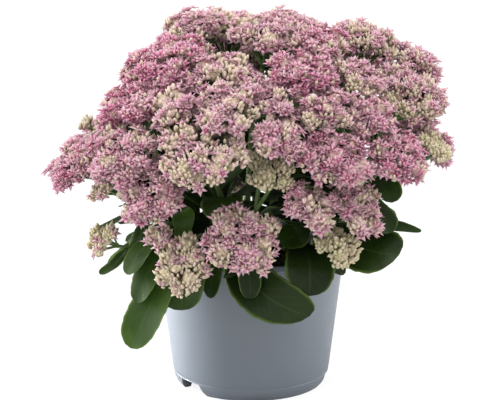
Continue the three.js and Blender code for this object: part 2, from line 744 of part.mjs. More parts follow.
/** The first leaf of the rule's tries at a base that has room, or nothing. */
function firstClear(base, outward, order, clear) {
  for (const length of LEAF_RULE.lengths) {
    for (const turn of LEAF_RULE.turns) {
      for (const slope of LEAF_RULE.slopes) {
        const azimuth = outward + THREE.MathUtils.degToRad(order % 2 ? -turn : turn);
        const raise = THREE.MathUtils.degToRad(slope);
        const tip = base.clone().add(new THREE.Vector3(
          length * Math.cos(raise) * Math.cos(azimuth),
          length * Math.cos(raise) * Math.sin(azimuth),
          length * Math.sin(raise),
        ));
        const middle = base.clone().lerp(tip, 0.5);
        middle.z += length * LEAF_RULE.rise;
        const face = [THREE.MathUtils.radToDeg(azimuth), LEAF_RULE.faceElevation];
        const leaf = new LeafShape(base, middle, tip, length * LEAF_RULE.widthShare, face);
        if (clear(leaf)) return leaf;
      }
    }
  }
  return null;
}

// ---------------------------------------------------------------- the whole plant

const group = new THREE.Group();

/** Adds a solid to the plant as a named mesh with a material of its own. */
function addMesh(name, solid, color, roughness) {
  const material = new THREE.MeshStandardMaterial({ color, roughness, metalness: 0 });
  const mesh = new THREE.Mesh(geometryOf(solid), material);
  mesh.name = name;
  group.add(mesh);
}

const numbered = (name, k) => `${name}_${String(k + 1).padStart(2, '0')}`;

const heads = STEMS.flatMap((stem, stemNumber) => (
  stem.heads.map((domes) => ({ stemNumber, domes }))));
for (const head of heads) head.domes = head.domes.map((values) => new Dome(values, head));
const allDomes = heads.flatMap((head) => head.domes);
for (const dome of allDomes) {
  for (const other of allDomes) {
    if (other.head !== dome.head) dome.meet(other);
  }
}

const trunks = STEMS.map(trunkCurve);
const branches = trunks.map((trunk, k) => heads
  .filter((head) => head.stemNumber === k)
  .map((head, order) => branchCurve(trunk, head.domes[0], order)));

const leaves = shownLeaves(trunks, branches);
addRuleLeaves(leaves, trunks, branches, allDomes);

addMesh('pot', potSolid(), COLOURS.pot, 0.5);
addMesh('soil', soilSolid(trunks), COLOURS.soil, 0.95);
STEMS.forEach((stem, k) => {
  const pieces = [
    solidOf(tube(trunks[k], TRUNK.radius, TRUNK.sides, TRUNK.steps)),
    ...branches[k].map((branch) => (
      solidOf(tube(branch, BRANCH.radius, BRANCH.sides, BRANCH.steps)))),
    ...leaves[k].map(leafSolid),
  ];
  addMesh(numbered('stem', k), joined(pieces), COLOURS.stem, 0.6);
});
heads.forEach((head, k) => {
  const open = head.domes.some((dome) => dome.bloom > 0.35);
  addMesh(numbered('head', k), headSolid(head), open ? COLOURS.pink : COLOURS.cream, 0.8);
});

export default group;
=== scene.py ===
# %% [markdown]
# # A potted stonecrop in full flower
#
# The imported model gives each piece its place: a plastic pot, the soil in it, fourteen leafy stems
# and the flower heads they carry. Its solids are coarse. These cells keep the pieces where they
# are and give each one the fine surface that it has in life: hundreds of small star flowers and
# buds on every head, fleshy leaves with teeth and veins, a smooth moulded pot and crumbly soil.

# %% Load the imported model
import itertools
import math

import bpy
import numpy as np
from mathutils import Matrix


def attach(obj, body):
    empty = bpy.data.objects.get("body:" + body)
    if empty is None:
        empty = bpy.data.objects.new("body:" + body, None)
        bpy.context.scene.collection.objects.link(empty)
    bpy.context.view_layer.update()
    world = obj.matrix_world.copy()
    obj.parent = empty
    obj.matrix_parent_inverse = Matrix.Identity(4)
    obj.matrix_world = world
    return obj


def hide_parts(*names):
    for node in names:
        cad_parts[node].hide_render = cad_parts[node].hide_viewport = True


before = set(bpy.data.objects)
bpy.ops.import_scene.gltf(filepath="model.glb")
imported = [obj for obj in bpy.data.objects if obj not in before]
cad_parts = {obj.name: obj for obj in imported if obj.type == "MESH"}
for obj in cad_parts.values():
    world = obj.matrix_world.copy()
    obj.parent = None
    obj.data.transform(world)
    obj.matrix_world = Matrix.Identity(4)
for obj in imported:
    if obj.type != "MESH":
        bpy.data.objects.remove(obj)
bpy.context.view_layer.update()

# %% [markdown]
# ## Short ways to write nodes and objects
#
# The floor, the sky and every material are trees of nodes. Wired by hand, each number takes a
# line of its own. A few small helpers feed a socket from a value or from another node, so that a
# material later reads like a recipe.

# %% Helpers
def show(thing):
    """Puts an object in the scene."""
    bpy.context.scene.collection.objects.link(thing)
    return thing


def feed(tree, socket, value):
    """Gives a socket a value, or links another node's socket to it."""
    if isinstance(value, bpy.types.NodeSocket):
        tree.links.new(value, socket)
    else:
        socket.default_value = value


def add_node(tree, kind, **inputs):
    """A node of a kind, with its inputs fed by name."""
    node = tree.nodes.new(kind)
    for name, value in inputs.items():
        feed(tree, node.inputs[name.replace("_", " ")], value)
    return node


def maths(tree, operation, *values):
    """One arithmetic step on sockets or numbers."""
    node = tree.nodes.new("ShaderNodeMath")
    node.operation = operation
    for socket, value in zip(node.inputs, values):
        feed(tree, socket, value)
    return node.outputs[0]


def between(tree, value, low, high):
    """0 at low, 1 at high, and a smooth S between. Low may be the larger of the two."""
    node = add_node(tree, "ShaderNodeMapRange", Value=value, From_Min=low, From_Max=high)
    node.interpolation_type = "SMOOTHSTEP"
    return node.outputs["Result"]


def blend_colours(tree, factor, first, second):
    """The colour between two colours, by a factor from 0 to 1."""
    node = tree.nodes.new("ShaderNodeMix")
    node.data_type = "RGBA"
    for socket, value in zip((node.inputs[0], node.inputs[6], node.inputs[7]), (factor, first, second)):
        feed(tree, socket, value)
    return node.outputs[2]


def value_of(tree, name):
    """An attribute's value on the surface."""
    node = tree.nodes.new("ShaderNodeAttribute")
    node.attribute_name = name
    return node.outputs["Fac"]


def rgb(red, green, blue):
    """A colour from three linear values."""
    return (red, green, blue, 1.0)


helpers = (show, feed, add_node, maths, between, blend_colours, value_of, rgb)
print("helpers:", ", ".join(helper.__name__ for helper in helpers))

# %% [markdown]
# ## Camera and floor
#
# Plants are sold on white. The camera looks down on this one a little, through a long lens, so
# that the heads in front don't swell. The floor is a plane so large that its edge is out of
# sight. To the light it is pale grey and takes a soft shadow. To the camera it also glows, so
# that it runs into the white behind it without a horizon.

# %% Camera and stage
CAMERA = {"place": (-0.001, -1.7, 0.569), "down": 12.7, "lens": 126.0, "sensor": 36}
FLOOR = {"half": 6.0, "grey": 0.62, "glow": 1.12, "wash": 0.8}

camera = show(bpy.data.objects.new("camera", bpy.data.cameras.new("camera")))
camera.location = CAMERA["place"]
camera.rotation_euler = (math.radians(90 - CAMERA["down"]), 0, 0)
camera.data.lens = CAMERA["lens"]
camera.data.sensor_width = CAMERA["sensor"]
bpy.context.scene.camera = camera
bpy.context.scene.view_settings.view_transform = "Standard"

half = FLOOR["half"]
floor_mesh = bpy.data.meshes.new("floor")
floor_corners = [(-half, -half, 0), (half, -half, 0), (half, half, 0), (-half, half, 0)]
floor_mesh.from_pydata(floor_corners, [], [(0, 1, 2, 3)])
floor = show(bpy.data.objects.new("floor", floor_mesh))

floor_paint = bpy.data.materials.new("floor paint")
floor_paint.use_nodes = True
tree = floor_paint.node_tree
tree.nodes.clear()
matt = add_node(tree, "ShaderNodeBsdfDiffuse", Color=rgb(FLOOR["grey"], FLOOR["grey"], FLOOR["grey"]))
glow = add_node(tree, "ShaderNodeEmission", Strength=FLOOR["glow"])
both = add_node(tree, "ShaderNodeMixShader")
seen = add_node(tree, "ShaderNodeLightPath").outputs["Is Camera Ray"]
washed = maths(tree, "MULTIPLY", seen, FLOOR["wash"])
for socket, value in zip(both.inputs, (washed, matt.outputs[0], glow.outputs[0])):
    feed(tree, socket, value)
add_node(tree, "ShaderNodeOutputMaterial", Surface=both.outputs[0])
floor_mesh.materials.append(floor_paint)
print("camera", CAMERA["place"], "with a", CAMERA["lens"], "mm lens; floor", 2 * half, "m wide")

# %% [markdown]
# ## A white room and its lamps
#
# Daylight through shop windows comes from all around, and more from the sides. Lamps alone would
# leave the shade between the leaves black, so most of the light here is the sky: an even white
# glow, and a brighter wall on the left and on the right, which model the pot's round side. The
# camera itself sees plain white there. A wide key lamp and a wide top lamp give the heads light
# and shade. Two small lamps stand low, with beams so narrow that they brighten the pot's edges
# and leave the heads alone.

# %% World and lamps
SKY = {"even": 1.18, "backdrop": 1.0, "wall_power": 4.0}
WALLS = [((-0.94, 0.34, 0), 2.2), ((0.8, 0.6, 0), 2.0)]  # heading, strength
LAMPS = {
    # name: (place, the point it faces, width, spread in degrees, power)
    "key lamp": ((-1.7, -0.3, 1.1), (0, 0, 0.22), 1.6, 180, 12.0),
    "top lamp": ((0.3, -0.9, 2.3), (0, 0, 0.25), 1.6, 180, 30.0),
    "low left lamp": ((-0.5, 0.14, 0.07), (-0.08, 0, 0.06), 0.2, 36, 0.62),
    "low right lamp": ((0.5, -0.1, 0.07), (0.08, 0, 0.06), 0.2, 36, 0.1),
}

world = bpy.data.worlds.new("white room")
world.use_nodes = True
bpy.context.scene.world = world
sky = world.node_tree


def wall_glow(heading, strength):
    """strength * max(0, cosine to the heading)^wall_power, the light of a bright wall."""
    facing = sky.nodes.new("ShaderNodeVectorMath")
    facing.operation = "DOT_PRODUCT"
    feed(sky, facing.inputs[0], add_node(sky, "ShaderNodeTexCoord").outputs["Generated"])
    feed(sky, facing.inputs[1], heading)
    cosine = maths(sky, "MAXIMUM", facing.outputs["Value"], 0.0)
    return maths(sky, "MULTIPLY", maths(sky, "POWER", cosine, SKY["wall_power"]), strength)


walls = maths(sky, "ADD", *(wall_glow(heading, strength) for heading, strength in WALLS))
light = maths(sky, "ADD", walls, SKY["even"])
seen = add_node(sky, "ShaderNodeLightPath").outputs["Is Camera Ray"]
strength = add_node(sky, "ShaderNodeMapRange", Value=seen, To_Min=light, To_Max=SKY["backdrop"])
backdrop = sky.nodes["Background"].inputs
feed(sky, backdrop["Strength"], strength.outputs["Result"])
feed(sky, backdrop["Color"], rgb(1, 1, 1))


def add_lamp(name, place, target, width, spread, power):
    """A square area lamp at a place, turned to face a point, with its beam held to a spread."""
    data = bpy.data.lights.new(name, "AREA")
    data.size, data.spread, data.energy = width, math.radians(spread), power
    lamp = show(bpy.data.objects.new(name, data))
    lamp.location = place
    east, north, up = np.array(target) - np.array(place)
    tilt = math.atan2(math.hypot(east, north), -up)
    lamp.rotation_euler = (tilt, 0, math.atan2(north, east) - math.pi / 2)


for lamp_name, values in LAMPS.items():
    add_lamp(lamp_name, *values)
print("lamps:", ", ".join(LAMPS))

# %% [markdown]
# ## Where everything grows
#
# The plant is a layout before it is a shape. Each stem has a foot in the soil, a fork, and heads
# at the ends of its branches. A head is one dome of flowers, or several that grew together. The
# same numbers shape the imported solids, so what grows here covers them without any fitting.
# They are in millimetres, which suit a flower better than metres, and each mesh is turned into
# metres as it is made.

# %% The layout
MM = 0.001
GAP = 0.35
GOLDEN_ANGLE = math.pi * (3 - math.sqrt(5))

# (x, y) of the foot, (x, y, z) of the fork, then the heads: each a list of domes, of which the
# first sits on the branch: x, y, z, radius, share of open flowers.
STEMS = [
    ((-48, -26), (-98, -52, 188), [
        [(-165, -72, 238, 27, 0.8)], [(-137, -92, 221, 17, 0.15)], [(-139, -91, 167, 18, 0.05)],
        [(-166, -8, 230, 28, 0.7), (-162, -6, 265, 10, 0.1), (-132, -36, 262, 20, 0.5)]]),
    ((-40, -50), (-72, -88, 188), [
        [(-116, -125, 259, 33, 0.75), (-88, -143, 227, 32, 0.7)],
        [(-61, -142, 157, 26, 0.15), (-83, -124, 177, 15, 0.25)], [(-109, -97, 295, 32, 0.9)]]),
    ((-24, -12), (-72, -14, 240), [
        [(-76, -63, 325, 40, 0.9)], [(-50, -3, 355, 32, 0.55)],
        [(-68, 35, 318, 34, 0.7), (-100, 22, 284, 34, 0.7)]]),
    ((-16, -40), (-32, -84, 222), [
        [(-26, -102, 311, 41, 0.55)], [(-62, -133, 299, 27, 0.7)],
        [(-42, -159, 266, 37, 0.25), (-22, -148, 300, 31, 0.5)]]),
    ((6, -62), (4, -96, 198), [
        [(-8, -155, 183, 31, 0.6)], [(20, -140, 246, 25, 0), (54, -157, 217, 25, 0.65)],
        [(18, -137, 306, 25, 0.7), (20, -161, 281, 25, 0.7)]]),
    ((14, -20), (36, -44, 258), [
        [(12, -43, 355, 31, 0.55), (61, -45, 346, 31, 0.8), (36, 3, 356, 27, 0.7)],
        [(46, -101, 323, 33, 0.9)], [(66, -131, 295, 29, 0.6)]]),
    ((38, -46), (64, -84, 192), [
        [(74, -148, 259, 32, 0.8), (94, -137, 209, 27, 0.7)], [(77, -136, 178, 23, 0)]]),
    ((56, -24), (92, -62, 218), [
        [(99, -80, 317, 26, 0.5), (103, -112, 288, 30, 0.75)], [(131, -119, 255, 30, 0.85)]]),
    ((58, 4), (116, -6, 218), [
        [(154, -31, 297, 34, 0.45), (140, -57, 289, 21, 0.1)], [(176, -58, 248, 20, 0)],
        [(160, 14, 320, 27, 0.65)], [(170, 14, 244, 32, 0.7)]]),
    ((34, 22), (84, 30, 238), [
        [(114, 13, 339, 32, 0.6)], [(98, 72, 306, 39, 0.7)], [(150, 56, 286, 36, 0.6)]]),
    ((44, 46), (90, 78, 188), [
        [(146, 98, 238, 38, 0.75)], [(96, 138, 240, 39, 0.8)], [(108, 120, 186, 29, 0.3)],
        [(158, 62, 214, 24, 0.5)]]),
    ((4, 52), (4, 96, 190), [
        [(34, 158, 240, 39, 0.7), (-32, 160, 240, 38, 0.8)], [(44, 146, 176, 31, 0.6)],
        [(-34, 146, 172, 32, 0.2)]]),
    ((-6, 14), (2, 50, 262), [
        [(35, 52, 341, 36, 0.75), (-28, 60, 343, 36, 0.65)],
        [(38, 112, 304, 40, 0.5), (-28, 122, 300, 38, 0.8)]]),
    ((-46, 30), (-88, 66, 200), [
        [(-84, 88, 300, 38, 0.6)], [(-94, 138, 244, 38, 0.7), (-118, 92, 250, 38, 0.8)],
        [(-98, 120, 182, 30, 0.6)], [(-130, 70, 204, 24, 0.1)], [(-156, 44, 238, 24, 0.6)]]),
]
print("stems:", len(STEMS), "heads:", sum(len(heads) for _, _, heads in STEMS))

# %% [markdown]
# ## The domes
#
# A head of stonecrop is a flattened cap of flowers over a cone of stalks, and neighbours press
# against each other until they share a wall. One function answers both: from the dome's middle,
# in any direction, how far does the flower surface reach? Directions are rows of an array, so a
# whole head is answered in one go. Points spread by the golden angle look as even, and as little
# like rows, as nature's own.

# %% Vectors
def unit(vectors):
    """Each vector divided by its length."""
    vectors = np.asarray(vectors, float)
    return vectors / np.maximum(np.linalg.norm(vectors, axis=-1, keepdims=True), 1e-9)


def ease(value, low, high):
    """0 below low, 1 above high, and a smooth S between: 3t^2 - 2t^3."""
    t = np.clip((np.asarray(value, float) - low) / (high - low), 0, 1)
    return t * t * (3 - 2 * t)


def frames(axes):
    """Two directions square to each axis and to each other."""
    steady = np.where(np.abs(axes[..., 2:]) > 0.9, [1.0, 0, 0], [0, 0, 1.0])
    right = unit(np.cross(axes, steady))
    return right, np.cross(axes, right)


print("a vector of length 5 made a unit:", unit([3, 0, 4]))

# %% Domes
DOME = {
    "spread": 1.25, "height": 0.68, "depth": 0.8, "crevice": 0.13, "cluster_spacing": 28,
    "cluster_low": 0.12, "cluster_edge": (0.72, 0.97), "least_facing": 0.02,
}
POT_HEIGHT = 142


class Dome:
    """One dome of flowers: its place, its axis, and how far it reaches in each direction."""

    def __init__(self, x, y, z, radius, bloom, head):
        self.centre = np.array([x, y, z], float)
        self.radius = radius * DOME["spread"]
        self.bloom, self.head, self.walls = bloom, head, []
        self.axis = unit(unit(self.centre - [0, 0, POT_HEIGHT]) + [0, 0, DOME["height"] / 2])
        self.right = unit([-self.axis[1], self.axis[0], 0])
        self.front = np.cross(self.axis, self.right)
        count = 2 + int(math.pi * self.radius**2 / DOME["cluster_spacing"] ** 2 + 0.5)
        self.clusters = self.spiral(count, 1, DOME["cluster_low"], x + y)

    def spiral(self, count, top, bottom, turn):
        """Directions at even steps of level, each turned by the golden angle from the last."""
        k = np.arange(count)
        return self.direction(top + (bottom - top) * (k + 0.5) / count, k * GOLDEN_ANGLE + turn)

    def direction(self, level, turn):
        """The direction of a point of the dome, from its level (1 is the crown) and its turn."""
        level, turn = np.asarray(level)[..., None], np.asarray(turn)[..., None]
        out = np.sqrt(np.maximum(0, 1 - level**2))
        squash = np.where(level > 0, DOME["height"], DOME["depth"])
        return unit(out * np.cos(turn) * self.right + out * np.sin(turn) * self.front
                    + level * squash * self.axis)

    def free_reach(self, ways, crevice=DOME["crevice"]):
        """A flattened cap, radius / |(out, up / height)|, sunk between its clusters, over a
        shallow cone, radius / (out - up / depth)."""
        up = ways @ self.axis
        out = np.sqrt(np.maximum(0, 1 - up**2))
        cap = self.radius / np.hypot(out, up / DOME["height"])
        near = (ways @ self.clusters.T).max(-1)
        cap = cap * (1 - crevice * (1 - ease(near, *DOME["cluster_edge"])))
        return np.where(up < 0, self.radius / (out - up / DOME["depth"]), cap)

    def reach(self, ways, crevice=DOME["crevice"]):
        """The free reach, cut short at the walls shared with neighbours: share / cosine."""
        far, least = self.free_reach(ways, crevice), DOME["least_facing"]
        for _, way, share in self.walls:
            facing = ways @ way
            far = np.where(facing > least, np.minimum(far, share / np.maximum(facing, least)), far)
        return far

    def meet(self, other):
        """Puts a wall between this dome and a neighbour, nearer to the smaller of the two."""
        way = other.centre - self.centre
        far = np.linalg.norm(way)
        if far <= DOME["spread"] * (self.radius + other.radius):
            share = (far**2 + self.radius**2 - other.radius**2) / (2 * far)
            self.walls.append((other, way / far, share - GAP))

    def holds(self, points, share):
        """Which points lie deeper in the dome than a share of its free reach."""
        way = points - self.centre
        far = np.linalg.norm(way, axis=-1)
        return (far < self.radius) & (far < share * self.free_reach(unit(way)))

    def near(self, points, room):
        """Which points come closer to the dome's surface than some room."""
        way = points - self.centre
        far = np.linalg.norm(way, axis=-1)
        return (far < self.radius + room) & (far < self.reach(unit(way)) + room)


print("shape of a dome:", DOME)

# %% All the domes
heads = []
for stem, (_, _, stem_heads) in enumerate(STEMS):
    for domes in stem_heads:
        heads.append({"stem": stem, "domes": [Dome(*values, len(heads)) for values in domes]})
all_domes = [dome for head in heads for dome in head["domes"]]
for dome in all_domes:
    for other in all_domes:
        if other.head != dome.head:
            dome.meet(other)
print("domes:", len(all_domes), "shared walls:", sum(len(dome.walls) for dome in all_domes) // 2)

# %% [markdown]
# ## Gathering small shapes into one mesh
#
# A head holds some four hundred flowers and buds. As objects of their own they would choke the
# scene, and instances are lost on export, so the copies are written as plain arrays: one list of
# corner points for all copies at once, and the triangles of one copy repeated with shifted
# numbers. Each corner also carries a few values (how far along the petal it is, a random tint),
# which the materials read as attributes. On the leaves at the sides the tint also carries
# painted light, and inside a head the share carries painted shade.

# %% The heap
VALUES = ("share", "across", "tint", "tone")


class Heap:
    """Many small shapes, gathered as arrays and built as one mesh."""

    def __init__(self):
        self.points, self.triangles, self.slots, self.count = [], [], [], 0
        self.values = {name: [] for name in VALUES}

    def add(self, points, triangles, slot, **values):
        """Adds copies, as points of (copies, corners, 3), that share one list of triangles."""
        points, triangles = np.asarray(points, float), np.asarray(triangles)
        copies, size = points.shape[:2]
        if copies == 0:
            return
        first = self.count + size * np.arange(copies)
        self.points.append(points.reshape(-1, 3))
        self.triangles.append((first[:, None, None] + triangles).reshape(-1, 3))
        self.slots.append(np.full(copies * len(triangles), slot))
        for name in VALUES:
            self.values[name].append(np.broadcast_to(values.get(name, 0.0), (copies, size)).ravel())
        self.count += copies * size

    def build(self, name, materials):
        """One smooth mesh object in metres, with the values as attributes of its corners."""
        points, triangles = np.concatenate(self.points) * MM, np.concatenate(self.triangles)
        mesh = bpy.data.meshes.new(name)
        mesh.vertices.add(len(points))
        mesh.vertices.foreach_set("co", points.ravel())
        mesh.loops.add(triangles.size)
        mesh.loops.foreach_set("vertex_index", triangles.ravel().astype(np.int32))
        mesh.polygons.add(len(triangles))
        mesh.polygons.foreach_set("loop_start", np.arange(0, triangles.size, 3, dtype=np.int32))
        for material in materials:
            mesh.materials.append(material)
        mesh.polygons.foreach_set("material_index", np.concatenate(self.slots).astype(np.int32))
        mesh.polygons.foreach_set("use_smooth", np.ones(len(triangles), bool))
        for value_name, parts in self.values.items():
            attribute = mesh.attributes.new(value_name, "FLOAT", "POINT")
            attribute.data.foreach_set("value", np.concatenate(parts).astype(np.float32))
        mesh.update()
        return show(bpy.data.objects.new(name, mesh))


def seat(piece, slot, *nodes):
    """Hides the solids that a piece stands for and hangs it on the whole plant. The slot, what it
    is made of, is not used.
    """
    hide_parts(*nodes)
    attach(piece, "root")
    return len(piece.data.polygons)


print("values at each corner:", ", ".join(VALUES))

# %% [markdown]
# ## Stalks
#
# Trunks, branches and the stalks inside a head are all tubes along a curve. A cubic Bezier curve
# needs only four points and bends the way a growing shoot does. The tube's ring of points is set
# square to the curve at every step, and a point on the axis closes each end.

# %% Curves and tubes
def bezier_at(points, t):
    """Cubic curves at t, (1-t)^3 a + 3(1-t)^2 t b + 3(1-t) t^2 c + t^3 d, and their headings."""
    a, b, c, d = (np.asarray(point, float) for point in points)
    place = (1 - t) ** 3 * a + 3 * (1 - t) ** 2 * t * b + 3 * (1 - t) * t**2 * c + t**3 * d
    heading = (1 - t) ** 2 * (b - a) + 2 * (1 - t) * t * (c - b) + t**2 * (d - c)
    return place, unit(heading)


def bezier(points, steps):
    """The same at even steps: a row of places and of headings for each curve."""
    points = [np.asarray(point, float)[..., None, :] for point in points]
    return bezier_at(points, np.linspace(0, 1, steps)[:, None])


def round_angles(count):
    """Even steps round a circle, from 0."""
    return np.arange(count) / count * 2 * math.pi


def ring_triangles(rows, around):
    """Triangles of a tube of rows of points, closed by a first and a last point."""
    k = np.arange(around)
    after = (k + 1) % around
    row = 1 + around * np.arange(rows - 1)[:, None]
    lower = np.stack([row + k, row + after, row + around + after], -1).reshape(-1, 3)
    upper = np.stack([row + k, row + around + after, row + around + k], -1).reshape(-1, 3)
    start = np.stack([np.zeros(around, int), 1 + after, 1 + k], -1)
    last = 1 + around * (rows - 1)
    end = np.stack([np.full(around, last + around), last + k, last + after], -1)
    return np.concatenate([start, lower, upper, end])


def tubes(places, headings, radii, around):
    """Round tubes along curves of (tubes, rows, 3): place + radius * (cosine * side + sine *
    other), where side and other are square to the curve."""
    chord = unit(places[:, -1] - places[:, 0])
    steady = frames(chord)[0][:, None]
    side = unit(np.cross(headings, np.cross(steady, headings)))
    other = np.cross(headings, side)
    angle = round_angles(around)
    ring = side[:, :, None] * np.cos(angle)[:, None] + other[:, :, None] * np.sin(angle)[:, None]
    rings = places[:, :, None] + radii[..., None, None] * ring
    body = rings.reshape(len(places), -1, 3)
    points = np.concatenate([places[:, :1], body, places[:, -1:]], 1)
    return points, ring_triangles(places.shape[1], around)


print("triangles of a tube of 5 rows of 4 points:", len(ring_triangles(5, 4)))

# %% Trunks and branches
TRUNK = {"radius": 3.4, "upright": 0.42, "lean_across": 0.62, "lean_up": 0.7, "taper": 0.22}
BRANCH = {"radius": 2.2, "spread": 0.035, "lead": 0.25, "approach": 0.35, "taper": 0.2}
SOIL = {"top": 126, "mound": 3, "dip": 1.2, "hole_depth": 18}
POT_WALL_TOP = 93.5


def soil_height(x, y):
    """The soil's uneven top: a low mound, mound * (1 - out^2), with shallow crossing waves."""
    out = np.hypot(x, y) / POT_WALL_TOP
    dips = np.sin(x * 0.11 + 1) * np.cos(y * 0.13) + 0.6 * np.sin(x * 0.05 - y * 0.19)
    return SOIL["top"] + SOIL["mound"] * (1 - out**2) + SOIL["dip"] * dips


def trunk_curve(foot, fork):
    """A trunk's four curve points: upright in the soil, then leaning out to its fork."""
    (x, y), top = foot, np.array(fork, float)
    base = soil_height(x, y) - SOIL["hole_depth"]
    start = np.array([x, y, base])
    lean = start + (top - start) * TRUNK["lean_across"]
    lean[2] = base + (top[2] - base) * TRUNK["lean_up"]
    return [start, start + [0, 0, (top[2] - base) * TRUNK["upright"]], lean, top]


def branch_curve(trunk, dome, order):
    """A branch's four curve points, from near the fork to the underside of its dome."""
    tip = dome.centre - dome.axis * (dome.reach(-dome.axis[None])[0] + GAP)
    length = np.linalg.norm(trunk[3] - tip)
    start, heading = bezier_at(trunk, 1 - BRANCH["spread"] * (order + 1))
    return [start, start + heading * length * BRANCH["lead"],
            tip - dome.axis * length * BRANCH["approach"], tip]


trunks = [trunk_curve(foot, fork) for foot, fork, _ in STEMS]
branches = [[] for _ in STEMS]
for head in heads:
    own = branches[head["stem"]]
    head["branch"] = branch_curve(trunks[head["stem"]], head["domes"][0], len(own))
    own.append(head["branch"])
print("branches:", sum(len(own) for own in branches))

# %% [markdown]
# ## The shape of a leaf
#
# A leaf is one surface of two parameters: how far along the midrib, and the angle round its thin
# oval section. The midrib is a curve through three points, and the blade's width follows a
# formula that is narrow at the foot and widest beyond the middle. A flat card with a drawing of a
# leaf would be cheaper, but these leaves are two millimetres thick and show it at every edge.

# %% Leaf shape
LEAF = {"thickness": 2.0, "foot": 3, "cup": 0.16, "base_power": 0.9, "tip_power": 0.45}


def leaf_half_width(width, share):
    """Half the width: share^base_power * (1 - share)^tip_power, scaled to its widest."""
    def oval(t):
        return t ** LEAF["base_power"] * np.maximum(1 - t, 0) ** LEAF["tip_power"]
    widest = oval(LEAF["base_power"] / (LEAF["base_power"] + LEAF["tip_power"]))
    return np.maximum(width / 2 * oval(share) / widest, LEAF["foot"] * (1 - share))


class Leaf:
    """A leaf's arched midrib, a parabola through three points, and the way across it."""

    def __init__(self, base, middle, tip, width, azimuth, elevation, shown=False):
        self.base, self.tip = np.asarray(base, float), np.asarray(tip, float)
        self.width, self.shown = width, shown
        self.bend = 2 * np.asarray(middle, float) - (self.base + self.tip) / 2
        turn, lift = math.radians(azimuth), math.radians(elevation)
        face = [math.cos(lift) * math.cos(turn), math.cos(lift) * math.sin(turn), math.sin(lift)]
        self.side = unit(np.cross(self.tip - self.base, face))

    def points(self, share, across, above):
        """Points at shares of the length, across from -1 to 1, and above the blade: midrib +
        side * across * half width + up * (above + cup * the distance from the midrib)."""
        share, across, above = np.broadcast_arrays(share, across, above)
        t = share[..., None]
        place = (1 - t) ** 2 * self.base + 2 * (1 - t) * t * self.bend + t**2 * self.tip
        heading = unit((1 - t) * (self.bend - self.base) + t * (self.tip - self.bend))
        up = unit(np.cross(self.side, heading))
        out = across * leaf_half_width(self.width, share)
        return place + self.side * out[..., None] + up * (above + np.abs(out) * LEAF["cup"])[..., None]

    def samples(self):
        """Points over the blade that stand for it when its room is tested."""
        rows = np.arange(1, 9)[:, None] / 8
        return self.points(rows, np.array([-1, -0.5, 0, 0.5, 1.0]), 0).reshape(-1, 3)


print("half width of a 40 mm leaf along it:", np.round(leaf_half_width(40, np.linspace(0, 1, 5)), 1))

# %% [markdown]
# ## Where the leaves stand
#
# The largest leaves stand where they show. The others grow by a rule that tries one direction
# after another until the leaf is clear of everything there, as a plant reaching for light does.
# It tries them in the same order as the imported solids, and then once more for the smaller leaves
# that fill the middle of the plant. Placing them all by hand would take longer and would still
# leave some cutting through their neighbours.

# %% Leaves that show
# Stem, branch (0 is the trunk), share along it, a point in the leaf's middle, its tip, its
# width, and the azimuth and elevation that its upper face looks to.
SHOWN_LEAVES = [
    (2, 2, 0.35, (-89, -112, 122), (-113, -128, 72), 40, 245, 25),
    (2, 2, 0.15, (-92, -108, 150), (-107, -122, 115), 27, 245, 40),
    (2, 0, 0.97, (-97, -108, 167), (-116, -122, 142), 24, 235, 45),
    (1, 3, 0.75, (-128, -86, 145), (-143, -96, 135), 15, 230, 30),
    (1, 3, 0.2, (-105, -78, 171), (-112, -86, 148), 17, 240, 30),
    (1, 0, 0.8, (-104, -82, 184), (-123, -100, 185), 18, 235, 50),
    (2, 0, 0.75, (-63, -104, 140), (-65, -118, 106), 44, 255, 25),
    (2, 1, 0.1, (-64, -106, 196), (-63, -112, 176), 22, 262, 35),
    (4, 0, 0.5, (-33, -90, 157), (-38, -112, 116), 22, 255, 35),
    (4, 0, 0.5, (1, -114, 131), (55, -126, 103), 48, 276, 15),
    (4, 0, 0.7, (-27, -90, 207), (-27, -104, 187), 40, 265, 35),
    (4, 0, 0.58, (-14, -98, 152), (-24, -110, 135), 14, 260, 35),
    (5, 1, 0.5, (-1, -118, 151), (-1, -128, 120), 22, 268, 30),
    (7, 0, 0.5, (54, -102, 153), (55, -118, 120), 48, 278, 35),
    (7, 0, 0.75, (41, -98, 173), (26, -110, 169), 30, 280, 45),
    (8, 0, 0.5, (100, -92, 161), (139, -110, 158), 52, 288, 18),
    (8, 0, 0.8, (121, -75, 181), (161, -90, 175), 24, 290, 80),
    (8, 0, 0.9, (100, -84, 218), (108, -104, 213), 22, 300, 40),
]
print("leaves that show:", len(SHOWN_LEAVES))

# %% Room for a leaf
# Where along the trunk the other leaves grow, the turns, lengths and slopes that each tries, its
# shape, and how far it stays from leaves and stalks, domes, soil and pot.
LEAF_RULE = {
    "shares": (0.5, 0.82, 0.4),
    "turns": (20, -20, 60, -60, 100, -100, 140, -140, 180),
    "lengths": (78, 66, 54),
    "slopes": (4, 26, -16),
    "width_share": 0.56, "rise": 0.14, "room": 7.6, "head_room": 3.5, "soil_room": 6,
    "pot_room": 3.5, "foot_points": 5, "face_elevation": 80,
}
FILL_RULE = {**LEAF_RULE, "shares": (0.62, 0.74, 0.9, 0.46), "lengths": (60, 46, 34), "room": 5.0,
             "slopes": (10, 34, -12), "width_share": 0.62}
RIM_RADIUS, WALL_THICKNESS = 97.5, 2.2


def clear_of_pot(points, rule):
    """Which points are over the rim, outside the pot, or inside it over the soil."""
    out, z = np.hypot(points[:, 0], points[:, 1]), points[:, 2]
    over_soil = (out < RIM_RADIUS) & (z > SOIL["top"] + SOIL["mound"] + rule["soil_room"])
    inside = out < POT_WALL_TOP - WALL_THICKNESS - rule["pot_room"]
    outside = out > RIM_RADIUS + rule["pot_room"]
    return (z > POT_HEIGHT + rule["pot_room"]) | outside | (inside & over_soil)


